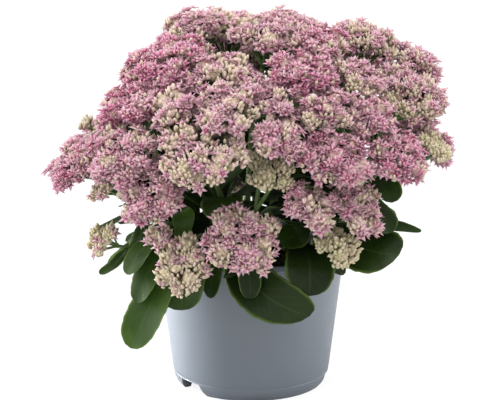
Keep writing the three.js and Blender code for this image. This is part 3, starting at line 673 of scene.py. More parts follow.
def is_near(points, others, room):
    """Whether any of the points is closer to any of the others than some room."""
    if len(points) == 0 or len(others) == 0:
        return False
    return bool((np.linalg.norm(points[:, None] - others[None], axis=-1) < room).any())


stem_points = [np.concatenate([bezier(trunk, 21)[0]] + [bezier(branch, 15)[0] for branch in own])
               for trunk, own in zip(trunks, branches)]


def is_clear(leaf, stem, taken, rule):
    """Whether a leaf has room among the pot, the domes, the stalks and the other leaves."""
    points = leaf.samples()
    if not clear_of_pot(points, rule).all():
        return False
    if any(dome.near(points, rule["head_room"]).any() for dome in all_domes):
        return False
    free = points[rule["foot_points"]:]
    return not any(is_near(free if k == stem else points, others[k], rule["room"])
                   for others in (stem_points, taken) for k in range(len(STEMS)))


print("points that stand for the stalks:", sum(len(points) for points in stem_points))

# %% Growing the leaves
def tries(base, outward, order, rule):
    """The leaves that a rule would try at a base, longest first."""
    for length, turn, slope in itertools.product(rule["lengths"], rule["turns"], rule["slopes"]):
        azimuth = outward + math.radians(-turn if order % 2 else turn)
        lift = math.radians(slope)
        flat = math.cos(lift)
        way = np.array([flat * math.cos(azimuth), flat * math.sin(azimuth), math.sin(lift)])
        tip = base + length * way
        middle = (base + tip) / 2 + [0, 0, length * rule["rise"]]
        yield Leaf(base, middle, tip, length * rule["width_share"],
                   math.degrees(azimuth), rule["face_elevation"])


def grow(leaves, taken, rule):
    """Adds to each stem the first leaf of the rule's tries that is clear, at each share."""
    for stem, trunk in enumerate(trunks):
        outward = math.atan2(trunk[3][1], trunk[3][0])
        for order, share in enumerate(rule["shares"]):
            choices = tries(bezier_at(trunk, share)[0], outward, order, rule)
            leaf = next((leaf for leaf in choices if is_clear(leaf, stem, taken, rule)), None)
            if leaf is not None:
                leaves[stem].append(leaf)
                taken[stem] = np.concatenate([taken[stem], leaf.samples()])


leaves = [[] for _ in STEMS]
for stem, branch, share, middle, tip, width, azimuth, elevation in SHOWN_LEAVES:
    curve = trunks[stem - 1] if branch == 0 else branches[stem - 1][branch - 1]
    base = bezier_at(curve, share)[0]
    leaves[stem - 1].append(Leaf(base, middle, tip, width, azimuth, elevation, shown=True))
taken = [np.concatenate([leaf.samples() for leaf in own]) if own else np.zeros((0, 3)) for own in leaves]
grow(leaves, taken, LEAF_RULE)
print("leaves as in the solids:", sum(len(own) for own in leaves))
grow(leaves, taken, FILL_RULE)
print("leaves in all:", sum(len(own) for own in leaves))

# %% [markdown]
# ## Materials that share their unevenness
#
# Nothing on a plant is one flat colour. Two small node groups give every material its
# unevenness: one drifts between two colours in soft patches, the other makes a fine grain for a
# bump. They are built once, and each material sets its own scale and strength.

# %% Shared node groups
def new_group(name, inputs, outputs):
    """An empty node group with its named sockets, and its input and output nodes."""
    group = bpy.data.node_groups.new(name, "ShaderNodeTree")
    for socket_name, kind, value in inputs:
        socket = group.interface.new_socket(socket_name, in_out="INPUT", socket_type=kind)
        socket.default_value = value
    for socket_name, kind in outputs:
        group.interface.new_socket(socket_name, in_out="OUTPUT", socket_type=kind)
    return group, group.nodes.new("NodeGroupInput").outputs, group.nodes.new("NodeGroupOutput").inputs


def add_noise(tree, scale, detail):
    """Noise on the object's own coordinates, so that it stays with the piece."""
    where = add_node(tree, "ShaderNodeTexCoord").outputs["Object"]
    return add_node(tree, "ShaderNodeTexNoise", Vector=where, Scale=scale, Detail=detail).outputs[0]


PATCH_EDGE = (0.36, 0.66)
patches, given, result = new_group(
    "soft patches",
    [("First", "NodeSocketColor", rgb(0.5, 0.5, 0.5)), ("Second", "NodeSocketColor", rgb(0.2, 0.2, 0.2)),
     ("Scale", "NodeSocketFloat", 40.0)],
    [("Color", "NodeSocketColor"), ("Mask", "NodeSocketFloat")])
mask = between(patches, add_noise(patches, given["Scale"], 4.0), *PATCH_EDGE)
feed(patches, result["Color"], blend_colours(patches, mask, given["First"], given["Second"]))
feed(patches, result["Mask"], mask)

grain, given, result = new_group(
    "fine grain",
    [("Scale", "NodeSocketFloat", 1500.0), ("Strength", "NodeSocketFloat", 1.0)],
    [("Height", "NodeSocketFloat")])
noise = add_noise(grain, given["Scale"], 3.0)
feed(grain, result["Height"], maths(grain, "MULTIPLY", noise, given["Strength"]))


def place_group(tree, group, **inputs):
    """A group's node in a material, with its inputs fed by name."""
    node = tree.nodes.new("ShaderNodeGroup")
    node.node_tree = group
    for name, value in inputs.items():
        feed(tree, node.inputs[name], value)
    return node.outputs


def mottled(tree, first, second, scale):
    """A colour that drifts between two in soft patches, with a scale in patches a metre."""
    return place_group(tree, patches, First=rgb(*first), Second=rgb(*second), Scale=scale)["Color"]


def satin(tree, roughness, spread, scale):
    """A roughness that drifts in soft patches: roughness + spread * mask."""
    mask = place_group(tree, patches, Scale=scale)["Mask"]
    return maths(tree, "ADD", maths(tree, "MULTIPLY", mask, spread), roughness)


def new_material(name, roughness, **constants):
    """A material and its shader, with the values that are the same all over the surface."""
    material = bpy.data.materials.new(name)
    material.use_nodes = True
    shader = material.node_tree.nodes["Principled BSDF"]
    shader.inputs["Roughness"].default_value = roughness
    for socket, value in constants.items():
        shader.inputs[socket.replace("_", " ")].default_value = value
    return material, material.node_tree, shader.inputs


def bump(tree, height, strength, distance):
    """A bumped normal from a height."""
    node = add_node(tree, "ShaderNodeBump", Height=height, Strength=strength, Distance=distance)
    return node.outputs["Normal"]


print("node groups:", patches.name, "and", grain.name)

# %% [markdown]
# ## Petals, buds and stalks
#
# Petals and buds are thin and moist, so some of the light on them comes out on the other side.
# Subsurface scattering could do it, but on thousands of open petals a translucent shader mixed
# in is quicker and looks the same. The colours run along each petal or bud by the share that
# the mesh carries, and drift with each flower's own tint and tone.

# %% Flower materials
def let_light_through(tree, colour, share):
    """Mixes a thin petal's or bud's translucence with its surface shader."""
    thin = add_node(tree, "ShaderNodeBsdfTranslucent", Color=colour)
    both = add_node(tree, "ShaderNodeMixShader")
    skin = tree.nodes["Principled BSDF"]
    for socket, value in zip(both.inputs, (share, skin.outputs[0], thin.outputs[0])):
        feed(tree, socket, value)
    feed(tree, tree.nodes["Material Output"].inputs["Surface"], both.outputs[0])


def petal_material():
    """Petals: deep pink at the foot, lilac pink along the blade and paler to the tip."""
    material, tree, surface = new_material("petal", 0.55)
    share, tint, tone = (value_of(tree, name) for name in ("share", "tint", "tone"))
    blade = blend_colours(tree, tint, rgb(0.85, 0.48, 0.62), rgb(0.90, 0.66, 0.68))
    warm = blend_colours(tree, tone, blade, rgb(0.80, 0.30, 0.48))
    foot = blend_colours(tree, between(tree, share, 0.0, 0.35), rgb(0.80, 0.40, 0.52), warm)
    pale = blend_colours(tree, between(tree, share, 0.5, 1.0), foot, rgb(0.92, 0.70, 0.77))
    feed(tree, surface["Base Color"], pale)
    let_light_through(tree, pale, 0.35)
    return material


def bud_material():
    """Buds: green at the foot, cream along the side, and flushed with pink as they ripen."""
    material, tree, surface = new_material("bud", 0.5)
    share, tint, tone = (value_of(tree, name) for name in ("share", "tint", "tone"))
    ripe = blend_colours(tree, tint, rgb(0.68, 0.60, 0.44), rgb(0.72, 0.52, 0.48))
    side = blend_colours(tree, tone, ripe, rgb(0.60, 0.56, 0.33))
    foot = blend_colours(tree, between(tree, share, 0.0, 0.45), rgb(0.32, 0.34, 0.16), side)
    tip = blend_colours(tree, between(tree, share, 0.7, 1.0), foot, rgb(0.80, 0.66, 0.57))
    feed(tree, surface["Base Color"], tip)
    let_light_through(tree, tip, 0.25)
    return material


def heart_material():
    """The flower's heart: the pointed seed vessels, deep pink."""
    material, tree, surface = new_material("flower heart", 0.5)
    colour = blend_colours(tree, value_of(tree, "tint"), rgb(0.74, 0.30, 0.40), rgb(0.84, 0.56, 0.54))
    feed(tree, surface["Base Color"], colour)
    return material


def stalk_material():
    """Stalks and stems: pale green, with darker patches."""
    material, tree, surface = new_material("stalk", 0.5)
    feed(tree, surface["Base Color"], mottled(tree, (0.12, 0.19, 0.05), (0.07, 0.13, 0.03), 90.0))
    height = place_group(tree, grain, Scale=900.0)["Height"]
    feed(tree, surface["Normal"], bump(tree, height, 0.25, 0.0004))
    return material


def core_material():
    """Under the flowers: the buds and petals of the row below, drawn as small cells with painted
    shade in their dark seams, and painted shade of near-black green between the bunches."""
    material, tree, surface = new_material("head core", 0.7)
    share, tint = value_of(tree, "share"), value_of(tree, "tint")
    where = add_node(tree, "ShaderNodeTexCoord").outputs["Object"]
    cells = add_node(tree, "ShaderNodeTexVoronoi", Vector=where, Scale=300.0).outputs["Distance"]
    # painted shade: near-black green where the skin lies between the bunches and low under the dome
    deep = mottled(tree, (0.022, 0.030, 0.010), (0.010, 0.015, 0.006), 420.0)
    closed = mottled(tree, (0.72, 0.62, 0.42), (0.58, 0.53, 0.32), 200.0)
    opened = mottled(tree, (0.72, 0.42, 0.50), (0.66, 0.44, 0.40), 200.0)
    near = blend_colours(tree, tint, closed, opened)
    # painted shade: each cell darkens towards its edge, as packed buds are shaded where they touch
    seam = maths(tree, "MULTIPLY", between(tree, cells, 0.35, 0.75), 0.4)
    near = blend_colours(tree, seam, near, rgb(0.20, 0.14, 0.08))
    feed(tree, surface["Base Color"], blend_colours(tree, between(tree, share, 0.2, 0.9), deep, near))
    feed(tree, surface["Normal"], bump(tree, maths(tree, "SUBTRACT", 1.0, cells), 1.0, 0.003))
    return material


petal, bud, heart = petal_material(), bud_material(), heart_material()
stalk, core = stalk_material(), core_material()
print("flower materials:", ", ".join(material.name for material in (petal, bud, heart, stalk, core)))

# %% [markdown]
# ## Star flowers and buds
#
# A star flower has five pointed petals round a deep pink heart, and a bud is the same flower
# still folded into a pointed egg. Sculpting one and copying it would give a wallpaper of
# twins. Here each petal's place is a formula with the flower's own tilt, turn and size in it, so
# no two are alike and numpy still works out a whole head at once.

# %% Star flowers
PETALS = 5
# One petal: its corner points by share of the length, across it, and above it, as shares of
# the length too: the foot, the widest place (edge, edge, keel) and the tip.
PETAL_ALONG = np.array([0, 0.4, 0.4, 0.4, 1.0])
PETAL_ACROSS = np.array([0, -0.29, 0.29, 0, 0])
PETAL_ABOVE = np.array([0, 0.03, 0.03, -0.08, -0.10])
PETAL_TRIANGLES = np.array([(0, 1, 2), (1, 4, 2), (0, 3, 1), (0, 2, 3), (1, 3, 4), (3, 2, 4)])
PETAL = {"from_heart": 0.05, "turn_spread": 0.07, "tilt_spread": 0.14, "lengths": (0.9, 1.08)}
STAR_TRIANGLES = np.concatenate([PETAL_TRIANGLES + len(PETAL_ALONG) * k for k in range(PETALS)])


def star_petals(places, axes, turns, sizes, tilts, rng):
    """Petals: foot + size * (along the tilted petal + across it + above it)."""
    right, front = frames(axes)
    angle = turns[:, None] + round_angles(PETALS)
    angle = angle + rng.normal(0, PETAL["turn_spread"], angle.shape)
    tilt = tilts[:, None] + rng.normal(0, PETAL["tilt_spread"], angle.shape)
    radial = right[:, None] * np.cos(angle)[..., None] + front[:, None] * np.sin(angle)[..., None]
    across = np.cross(axes[:, None], radial)
    along = radial * np.cos(tilt)[..., None] + axes[:, None] * np.sin(tilt)[..., None]
    above = axes[:, None] * np.cos(tilt)[..., None] - radial * np.sin(tilt)[..., None]
    length = (sizes[:, None] * rng.uniform(*PETAL["lengths"], angle.shape))[..., None, None]
    shape = (along[:, :, None] * (PETAL_ALONG + PETAL["from_heart"])[:, None]
             + across[:, :, None] * PETAL_ACROSS[:, None] + above[:, :, None] * PETAL_ABOVE[:, None])
    petals = places[:, None, None] + length * shape
    return petals.reshape(len(places), PETALS * len(PETAL_ALONG), 3)


print("triangles of an open flower's petals:", len(STAR_TRIANGLES))

# %% Hearts, buds and thin stalks
# The rings of an egg between its foot and its tip: how far along they are, how wide, and of how
# many points, all as shares of its length.
HEART = {"levels": np.array([0.25]), "widths": np.array([0.28]), "sides": 4}
BUD = {"levels": np.array([0.3, 0.64]), "widths": np.array([0.275, 0.225]), "sides": 5}
STICK = {"sides": 3, "knee": 0.8}


def eggs(places, axes, turns, sizes, shape):
    """Closed pointed shapes: foot + size * (level along the axis + width round it)."""
    levels, widths, sides = shape["levels"], shape["widths"], shape["sides"]
    right, front = frames(axes)
    angle = turns[:, None] + round_angles(sides)
    ring = right[:, None] * np.cos(angle)[..., None] + front[:, None] * np.sin(angle)[..., None]
    size = sizes[:, None, None, None]
    rings = places[:, None, None] + size * (
        axes[:, None, None] * levels[:, None, None] + ring[:, None] * widths[:, None, None])
    rings = rings.reshape(len(places), len(levels) * sides, 3)
    tip = places[:, None] + sizes[:, None, None] * axes[:, None]
    return np.concatenate([places[:, None], rings, tip], 1), ring_triangles(len(levels), sides)


def egg_shares(shape):
    """How far along an egg each of its corner points is."""
    return np.concatenate([[0], np.repeat(shape["levels"], shape["sides"]), [1]])


def sticks(starts, ends, radius):
    """Thin three-sided stalks between pairs of points, pointed at both ends, with one ring at
    the knee: start + knee * (end - start) + radius round it, less where they are short."""
    length = np.linalg.norm(ends - starts, axis=-1)
    width = length * (radius / np.maximum(length, radius))
    right, front = frames(unit(ends - starts))
    angle = round_angles(STICK["sides"])
    ring = right[:, None] * np.cos(angle)[:, None] + front[:, None] * np.sin(angle)[:, None]
    knee = starts + (ends - starts) * STICK["knee"]
    rings = knee[:, None] + ring * width[:, None, None]
    return np.concatenate([starts[:, None], rings, ends[:, None]], 1), ring_triangles(1, STICK["sides"])


print("triangles of a bud:", len(ring_triangles(len(BUD["levels"]), BUD["sides"])))

# %% [markdown]
# ## Bunches within a head
#
# Seen close, a head is no even cushion. Its flowers stand in small bunches, each on a stalk of
# its own, a little higher or lower than the next, more or less open, with a shadow between. So a
# dome first gets its bunches, and every flower then belongs to the nearest one. Whether it is
# open follows waves that run across the head, so that open flowers and buds keep company in
# patches, as they do where the sun reached first.

# %% Bunches
BUNCH = {
    "cover": 5.9, "width": 27, "lowest": -0.26, "jitter": 0.07, "drop": 2.6, "mood": (-0.35, 0.3),
    "patch": 17, "root": 0.5, "edge": (8.5, 17.5), "sink": 9.0,
}


class Bunches:
    """The small bunches that a dome's flowers stand in, each a little higher or lower."""

    def __init__(self, dome, rng):
        self.dome = dome
        count = max(4, round(BUNCH["cover"] * dome.radius**2 / BUNCH["width"] ** 2))
        ways = dome.spiral(count, 1, BUNCH["lowest"], dome.centre[0] + dome.centre[1])
        self.ways = unit(ways + rng.normal(0, BUNCH["jitter"], (count, 3)))
        self.drop = np.abs(rng.normal(0, BUNCH["drop"], count))
        self.mood = rng.uniform(*BUNCH["mood"], count)
        self.reach = dome.reach(self.ways, 0)
        self.drift = unit(rng.normal(0, 1, (2, 3))) * 2 * math.pi / BUNCH["patch"]
        self.phase = rng.uniform(0, 2 * math.pi, 2)
        self.roots = dome.centre + self.ways * (self.reach * BUNCH["root"])[:, None]

    def sink(self, ways):
        """The nearest bunch, the distance to its middle, and how deep the surface lies there:
        the bunch's drop, plus the dip at its edge."""
        near = ways @ self.ways.T
        own = near.argmax(1)
        arc = self.dome.radius * np.arccos(np.clip(near.max(1), -1, 1))
        return own, arc, self.drop[own] + BUNCH["sink"] * ease(arc, *BUNCH["edge"])


print("bunches on a dome of 30 mm:", round(BUNCH["cover"] * 30**2 / BUNCH["width"] ** 2))

# %% Where the flowers stand
# The two kinds of flower: their spacing, their length, the range of it, and how far they stand
# proud of the surface (mean, spread).
OPEN = {"pitch": 6.2, "length": 7.5, "lengths": (0.86, 1.12), "proud": (0.0, 0.9)}
SHUT = {"pitch": 4.3, "length": 6.9, "lengths": (0.72, 1.12), "proud": (-0.4, 0.9)}
PLACING = {"jitter": 1.5, "turn_jitter": 0.05, "hidden": 0.74, "merged": 0.9}
LOOK = {"away": 0.6, "lift_low": 0.35, "lift_levels": (-0.1, 0.4), "jitter": 0.2}
RIPE = {
    "middle": 0.5, "drift": 0.19, "jitter": 0.22, "limits": (0.02, 0.98), "tight": 0.02,
    "crown": 0.25, "even_level": 0.4, "mood": 1.8, "chances": (0.03, 0.95),
}


def floret_layout(dome, siblings, bunches, pitch, rng):
    """Directions spread by the golden angle, jittered, without those that a neighbour hides."""
    lowest = BUNCH["lowest"]
    count = int(dome.radius**2 * BUNCH["cover"] / pitch**2)
    k = np.arange(count)
    level = 1 + (lowest - 1) * (k + 0.5 + rng.normal(0, PLACING["jitter"], count)) / count
    turn = k * GOLDEN_ANGLE + pitch + rng.normal(0, PLACING["turn_jitter"], count)
    level = np.clip(level, lowest, 1)
    ways = dome.direction(level, turn)
    own, arc, sink = bunches.sink(ways)
    ends = dome.centre + ways * (dome.reach(ways, 0) - sink)[:, None]
    seen = np.ones(count, bool)
    for other, _, _ in dome.walls:
        seen &= ~other.holds(ends, PLACING["hidden"])
    for other in siblings:
        seen &= ~other.holds(ends, PLACING["merged"])
    return {"way": ways[seen], "level": level[seen], "end": ends[seen], "own": own[seen],
            "arc": arc[seen]}


def floret_axes(dome, bunches, spot, rng):
    """Which way each flower looks: away from its bunch's root, out of the dome, and upward."""
    up = (spot["way"] @ dome.axis)[:, None] * dome.axis
    normal = unit(spot["way"] - up + up / DOME["height"] ** 2)
    away = unit(spot["end"] - bunches.roots[spot["own"]])
    low = LOOK["lift_low"]
    lift = (low + (1 - low) * ease(spot["level"], *LOOK["lift_levels"]))[:, None] * [0, 0, 1.0]
    jitter = rng.normal(0, LOOK["jitter"], away.shape)
    return unit(LOOK["away"] * away + (1 - LOOK["away"]) * normal + lift + jitter)


def open_share(dome, bunches, spot):
    """The chance that a flower is open: the dome's share, its bunch's mood, and its level."""
    if dome.bloom <= RIPE["tight"]:
        return np.full(len(spot["level"]), RIPE["tight"])
    mood = bunches.mood[spot["own"]] * min(1, RIPE["mood"] * dome.bloom)
    crown = RIPE["crown"] * (spot["level"] - RIPE["even_level"])
    return np.clip(dome.bloom + mood + crown, *RIPE["chances"])


def ripeness(spot, bunches, rng):
    """A value from 0 to 1 that drifts over the head in patches some flowers wide. Where it is
    below the share of open flowers, they are open."""
    drift = np.sin(spot["end"] @ bunches.drift.T + bunches.phase).sum(1)
    noise = rng.normal(0, RIPE["jitter"], len(drift))
    return np.clip(RIPE["middle"] + RIPE["drift"] * drift + noise, *RIPE["limits"])


def choose(dome, siblings, bunches, kind, rng):
    """The places where a kind of flower grows, open or shut, with its axes, turns and sizes."""
    spot = floret_layout(dome, siblings, bunches, kind["pitch"], rng)
    opened = ripeness(spot, bunches, rng) < open_share(dome, bunches, spot)
    keep = opened if kind is OPEN else ~opened
    spot = {name: values[keep] for name, values in spot.items()}
    spot["axis"] = floret_axes(dome, bunches, spot, rng)
    spot["turn"] = rng.uniform(0, 2 * math.pi, len(spot["axis"]))
    spot["size"] = kind["length"] * rng.uniform(*kind["lengths"], len(spot["axis"]))
    return spot


print("a place for an open flower every", OPEN["pitch"], "mm, for a bud every", SHUT["pitch"], "mm")

# %% Open flowers and buds
SLOT = {name: number for number, name in enumerate(("stalk", "core", "petal", "heart", "bud"))}
TILT = {"middle": 0.7, "spread": 0.3, "limits": (0.1, 1.3)}
TONE = {"by_bloom": 3.5, "start": -2.5, "spread": 0.32, "mood": 0.8}
GREEN = {"tight": 0.75, "by_bloom": 2.5, "until": 0.25, "ripe": 0.15, "spread": 0.18}
HEART_SHARE, BUD_SUNK = 0.5, 0.9
FLORET_STALK = {"radius": 0.42, "from_arc": 12.5}


def add_floret_stalks(heap, bunches, spot, base):
    """Stalks from the bunch's root to the flowers at its edge; the others are out of sight."""
    shown = (spot["arc"] > FLORET_STALK["from_arc"]) | (spot["level"] < 0)
    points, triangles = sticks(bunches.roots[spot["own"]][shown], base[shown], FLORET_STALK["radius"])
    heap.add(points, triangles, SLOT["stalk"])


def add_stars(heap, dome, siblings, bunches, rng):
    """Open flowers: petals, hearts, and stalks where they show."""
    spot = choose(dome, siblings, bunches, OPEN, rng)
    size, axes, turns, count = spot["size"], spot["axis"], spot["turn"], len(spot["turn"])
    tilt = np.clip(rng.normal(TILT["middle"], TILT["spread"], count), *TILT["limits"])
    base = spot["end"] + axes * (rng.normal(*OPEN["proud"], count) - size * np.sin(tilt))[:, None]
    tint = rng.random(count)[:, None]
    deep = rng.normal(TONE["by_bloom"] * dome.bloom + TONE["start"], TONE["spread"], count)
    tone = np.clip(deep + TONE["mood"] * bunches.mood[spot["own"]], 0, 1)[:, None]
    heap.add(star_petals(base, axes, turns, size, tilt, rng), STAR_TRIANGLES, SLOT["petal"],
             share=np.tile(PETAL_ALONG, PETALS), tint=tint, tone=tone)
    points, triangles = eggs(base, axes, turns, size * HEART_SHARE, HEART)
    heap.add(points, triangles, SLOT["heart"], tint=tint)
    add_floret_stalks(heap, bunches, spot, base)
    return count


def add_buds(heap, dome, siblings, bunches, rng):
    """Closed flowers, and stalks where they show. Heads with few open flowers are greener."""
    spot = choose(dome, siblings, bunches, SHUT, rng)
    size, axes, count = spot["size"], spot["axis"], len(spot["turn"])
    base = spot["end"] + axes * (rng.normal(*SHUT["proud"], count) - size * BUD_SUNK)[:, None]
    young = dome.bloom < GREEN["until"]
    green = GREEN["tight"] - GREEN["by_bloom"] * dome.bloom if young else GREEN["ripe"]
    green = np.clip(rng.normal(green, GREEN["spread"], count), 0, 1)[:, None]
    points, triangles = eggs(base, axes, spot["turn"], size, BUD)
    heap.add(points, triangles, SLOT["bud"], share=egg_shares(BUD),
             tint=rng.random((count, 1)), tone=green)
    add_floret_stalks(heap, bunches, spot, base)
    return count


print("materials of a head:", ", ".join(SLOT))

# %% [markdown]
# ## Inside a head
#
# Between the flowers the eye meets more flowers, then stalks and shade. Copies of real flowers
# there would double the mesh for nothing. One closed skin a few millimetres below stands for
# them, coloured like them in the middle of each bunch, and painted with shade, nearly black,
# between bunches and under the dome. Below it, curved stalks run from the bunches to the foot
# of the dome, as the real ones do.

# %% Stalks and core of a head
PEDUNCLE = {"leave": 0.2, "arrive": 0.24, "rows": 5, "around": 4, "radii": (1.6, 0.9)}
CORE = {
    "rows": 18, "around": 34, "depth": 5.4, "dip": 7.0, "least": 0.18,
    "waist": 0.55, "waist_levels": (-0.35, 0.0), "lit_levels": (-0.25, 0.1),
}


def add_peduncles(heap, dome, roots, foot):
    """Stalks that part at the dome's foot and curve out to the bunches."""
    start, along = np.tile(foot, (len(roots), 1)), dome.axis * dome.radius
    curve = (start, start + along * PEDUNCLE["leave"], roots - along * PEDUNCLE["arrive"], roots)
    places, headings = bezier(curve, PEDUNCLE["rows"])
    radii = np.linspace(*PEDUNCLE["radii"], PEDUNCLE["rows"])
    radii = np.broadcast_to(radii, (len(roots), PEDUNCLE["rows"]))
    points, triangles = tubes(places, headings, radii, PEDUNCLE["around"])
    heap.add(points, triangles, SLOT["stalk"])


def add_core(heap, dome, bunches):
    """The flowers and stalks below the outer ones, as one closed surface: reach - sink - depth
    - dip * how near the bunch's edge is, drawn in to a waist under the dome."""
    rows, around = CORE["rows"], CORE["around"]
    level = np.cos(np.linspace(0, math.pi, rows + 2)[1:-1])[::-1, None]
    level, turn = np.broadcast_arrays(level, round_angles(around))
    ways = dome.direction(level, turn).reshape(-1, 3)
    ways = np.concatenate([-dome.axis[None], ways, dome.axis[None]])
    level = np.concatenate([[-1], level.ravel(), [1]])
    own, arc, sink = bunches.sink(ways)
    gap = ease(arc, *BUNCH["edge"])
    far = dome.reach(ways, 0) - sink - CORE["depth"] - CORE["dip"] * gap
    far = np.maximum(far, dome.radius * CORE["least"])
    waist = CORE["waist"] + (1 - CORE["waist"]) * ease(level, *CORE["waist_levels"])
    points = dome.centre + ways * (far * np.where(level < 0, waist, 1))[:, None]
    # share is painted shade on the core: 1 in the middle of each bunch on top, 0 between bunches and low
    # under the dome
    heap.add(points[None], ring_triangles(rows, around)[:, ::-1], SLOT["core"],
             share=(1 - gap) * ease(level, *CORE["lit_levels"]),
             tint=np.clip(dome.bloom + bunches.mood[own], 0, 1))


print("triangles of a dome's core:", len(ring_triangles(CORE["rows"], CORE["around"])))

# %% All the heads
SEED = 7  # each head adds its own number to it, each stem 100 and the soil 200 as well
NECK = {"depth": 8, "radius": 2.5}
OPEN_FROM = 0.35

open_total = bud_total = faces_total = 0
for number, head in enumerate(heads):
    heap, rng = Heap(), np.random.default_rng(SEED + number)
    domes = head["domes"]
    for dome in domes:
        siblings = [other for other in domes if other is not dome]
        foot = dome.centre - dome.axis * dome.reach(-dome.axis[None])[0]
        bunches = Bunches(dome, rng)
        open_total += add_stars(heap, dome, siblings, bunches, rng)
        bud_total += add_buds(heap, dome, siblings, bunches, rng)
        add_peduncles(heap, dome, bunches.roots, foot)
        add_core(heap, dome, bunches)
    inner = [dome.centre - dome.axis * NECK["depth"] for dome in domes]
    for other in inner[1:]:
        points, triangles = sticks(inner[0][None], other[None], NECK["radius"])
        heap.add(points, triangles, SLOT["stalk"])
    piece = heap.build(f"flowers_{number + 1:02d}", [stalk, core, petal, heart, bud])
    opens = any(dome.bloom > OPEN_FROM for dome in domes)
    faces_total += seat(piece, "flowers_open" if opens else "flowers_bud", f"head_{number + 1:02d}")
print("open flowers:", open_total, "buds:", bud_total, "triangles:", faces_total)

# %% [markdown]
# ## Leafy stems
#
# The leaves of stonecrop are thick and smooth, with a groove over the midrib, faint side veins
# and a paler edge. The groove, the teeth and the waved edge are in the mesh, because they catch
# the light. The veins are finer than its faces, so the material draws them from the same
# two values that the surface was made with: the share of the length, and the place across. A
# waxy bloom dulls the leaf where it is seen edge-on, so its roughness grows there.

# %% Leaf material
VEINS = {"count": 9.0, "slant": 0.22, "shade": 0.07, "depth": 0.3}
LEAF_GLOSS = {"roughness": 0.32, "spread": 0.1, "edge_on": 0.58}


def leaf_material():
    """Fleshy green: paler below, at the edge and along the midrib, with faint side veins where
    the cosine of count * (share - slant * distance) is near 1."""
    material, tree, surface = new_material("leaf", LEAF_GLOSS["roughness"], Specular_IOR_Level=0.16)
    share, across, tint, tone = (value_of(tree, name) for name in ("share", "across", "tint", "tone"))
    deep = mottled(tree, (0.004, 0.009, 0.002), (0.008, 0.016, 0.003), 34.0)
    bright = mottled(tree, (0.026, 0.060, 0.007), (0.042, 0.088, 0.010), 34.0)
    # the tint blends the deep and the paler green: partly random, and on leaves at the left and right painted
    # light
    upper = blend_colours(tree, tint, deep, bright)
    distance = maths(tree, "ABSOLUTE", across)
    slanted = maths(tree, "SUBTRACT", share, maths(tree, "MULTIPLY", distance, VEINS["slant"]))
    wave = maths(tree, "COSINE", maths(tree, "MULTIPLY", slanted, VEINS["count"] * 2 * math.pi))
    vein = maths(tree, "MULTIPLY", between(tree, wave, 0.86, 1.0), between(tree, distance, 0.95, 0.5))
    edge, rib = between(tree, distance, 0.84, 1.0), between(tree, distance, 0.07, 0.0)
    colour = blend_colours(tree, tone, upper, rgb(0.055, 0.085, 0.035))
    for place, strength, paler in ((edge, 0.75, rgb(0.09, 0.15, 0.025)), (rib, 0.16, rgb(0.08, 0.13, 0.03)),
                                   (vein, VEINS["shade"], rgb(0.06, 0.11, 0.03))):
        colour = blend_colours(tree, maths(tree, "MULTIPLY", place, strength), colour, paler)
    feed(tree, surface["Base Color"], colour)
    fine = place_group(tree, grain, Scale=1400.0, Strength=0.25)["Height"]
    height = maths(tree, "SUBTRACT", fine, maths(tree, "MULTIPLY", vein, VEINS["depth"]))
    feed(tree, surface["Normal"], bump(tree, height, 0.35, 0.0006))
    away = between(tree, add_node(tree, "ShaderNodeLayerWeight").outputs["Facing"], 0.35, 0.7)
    rough = satin(tree, LEAF_GLOSS["roughness"], LEAF_GLOSS["spread"], 120.0)
    rough = maths(tree, "ADD", rough, maths(tree, "MULTIPLY", away, LEAF_GLOSS["edge_on"]))
    feed(tree, surface["Roughness"], rough)
    return material


leaf_skin = leaf_material()
print("leaf material:", leaf_skin.name)

# %% Leaves and stems
# A blade's grid (rows, around) where it shows and where it only fills, the shares at which its
# rows start and end, and its teeth, its wave, and the (depth, width) of its groove and keel.
BLADE = {
    "grid": (30, 22), "fill_grid": (20, 16), "ends": (0.02, 0.985), "teeth": 8.5, "tooth": 0.055,
    "toothed": (0.3, 0.5), "thin_tip": 3.5, "thin_edge": 0.25, "groove": (-0.55, 1.6),
    "keel": (-0.9, 1.8), "wave": 0.05, "waves": 9, "waved": (0.15, 0.4), "calm_tip": (0.85, 1),
}
LEAF_SLOTS = {"stalk": 0, "blade": 1}
# Each leaf's tint: random about the middle, plus painted light for leaves whose tip lies left of x = -60 mm
# or right of x = 120 mm, as if lit from the sides
TINT_AND_PAINTED_LIGHT = {"middle": 0.15, "spread": 0.15, "left": (-60, 0.4), "right": (120, 0.25)}
STALK = {"swell": 0.22, "knot": 28, "trunk": (40, 12), "branch": (24, 10)}


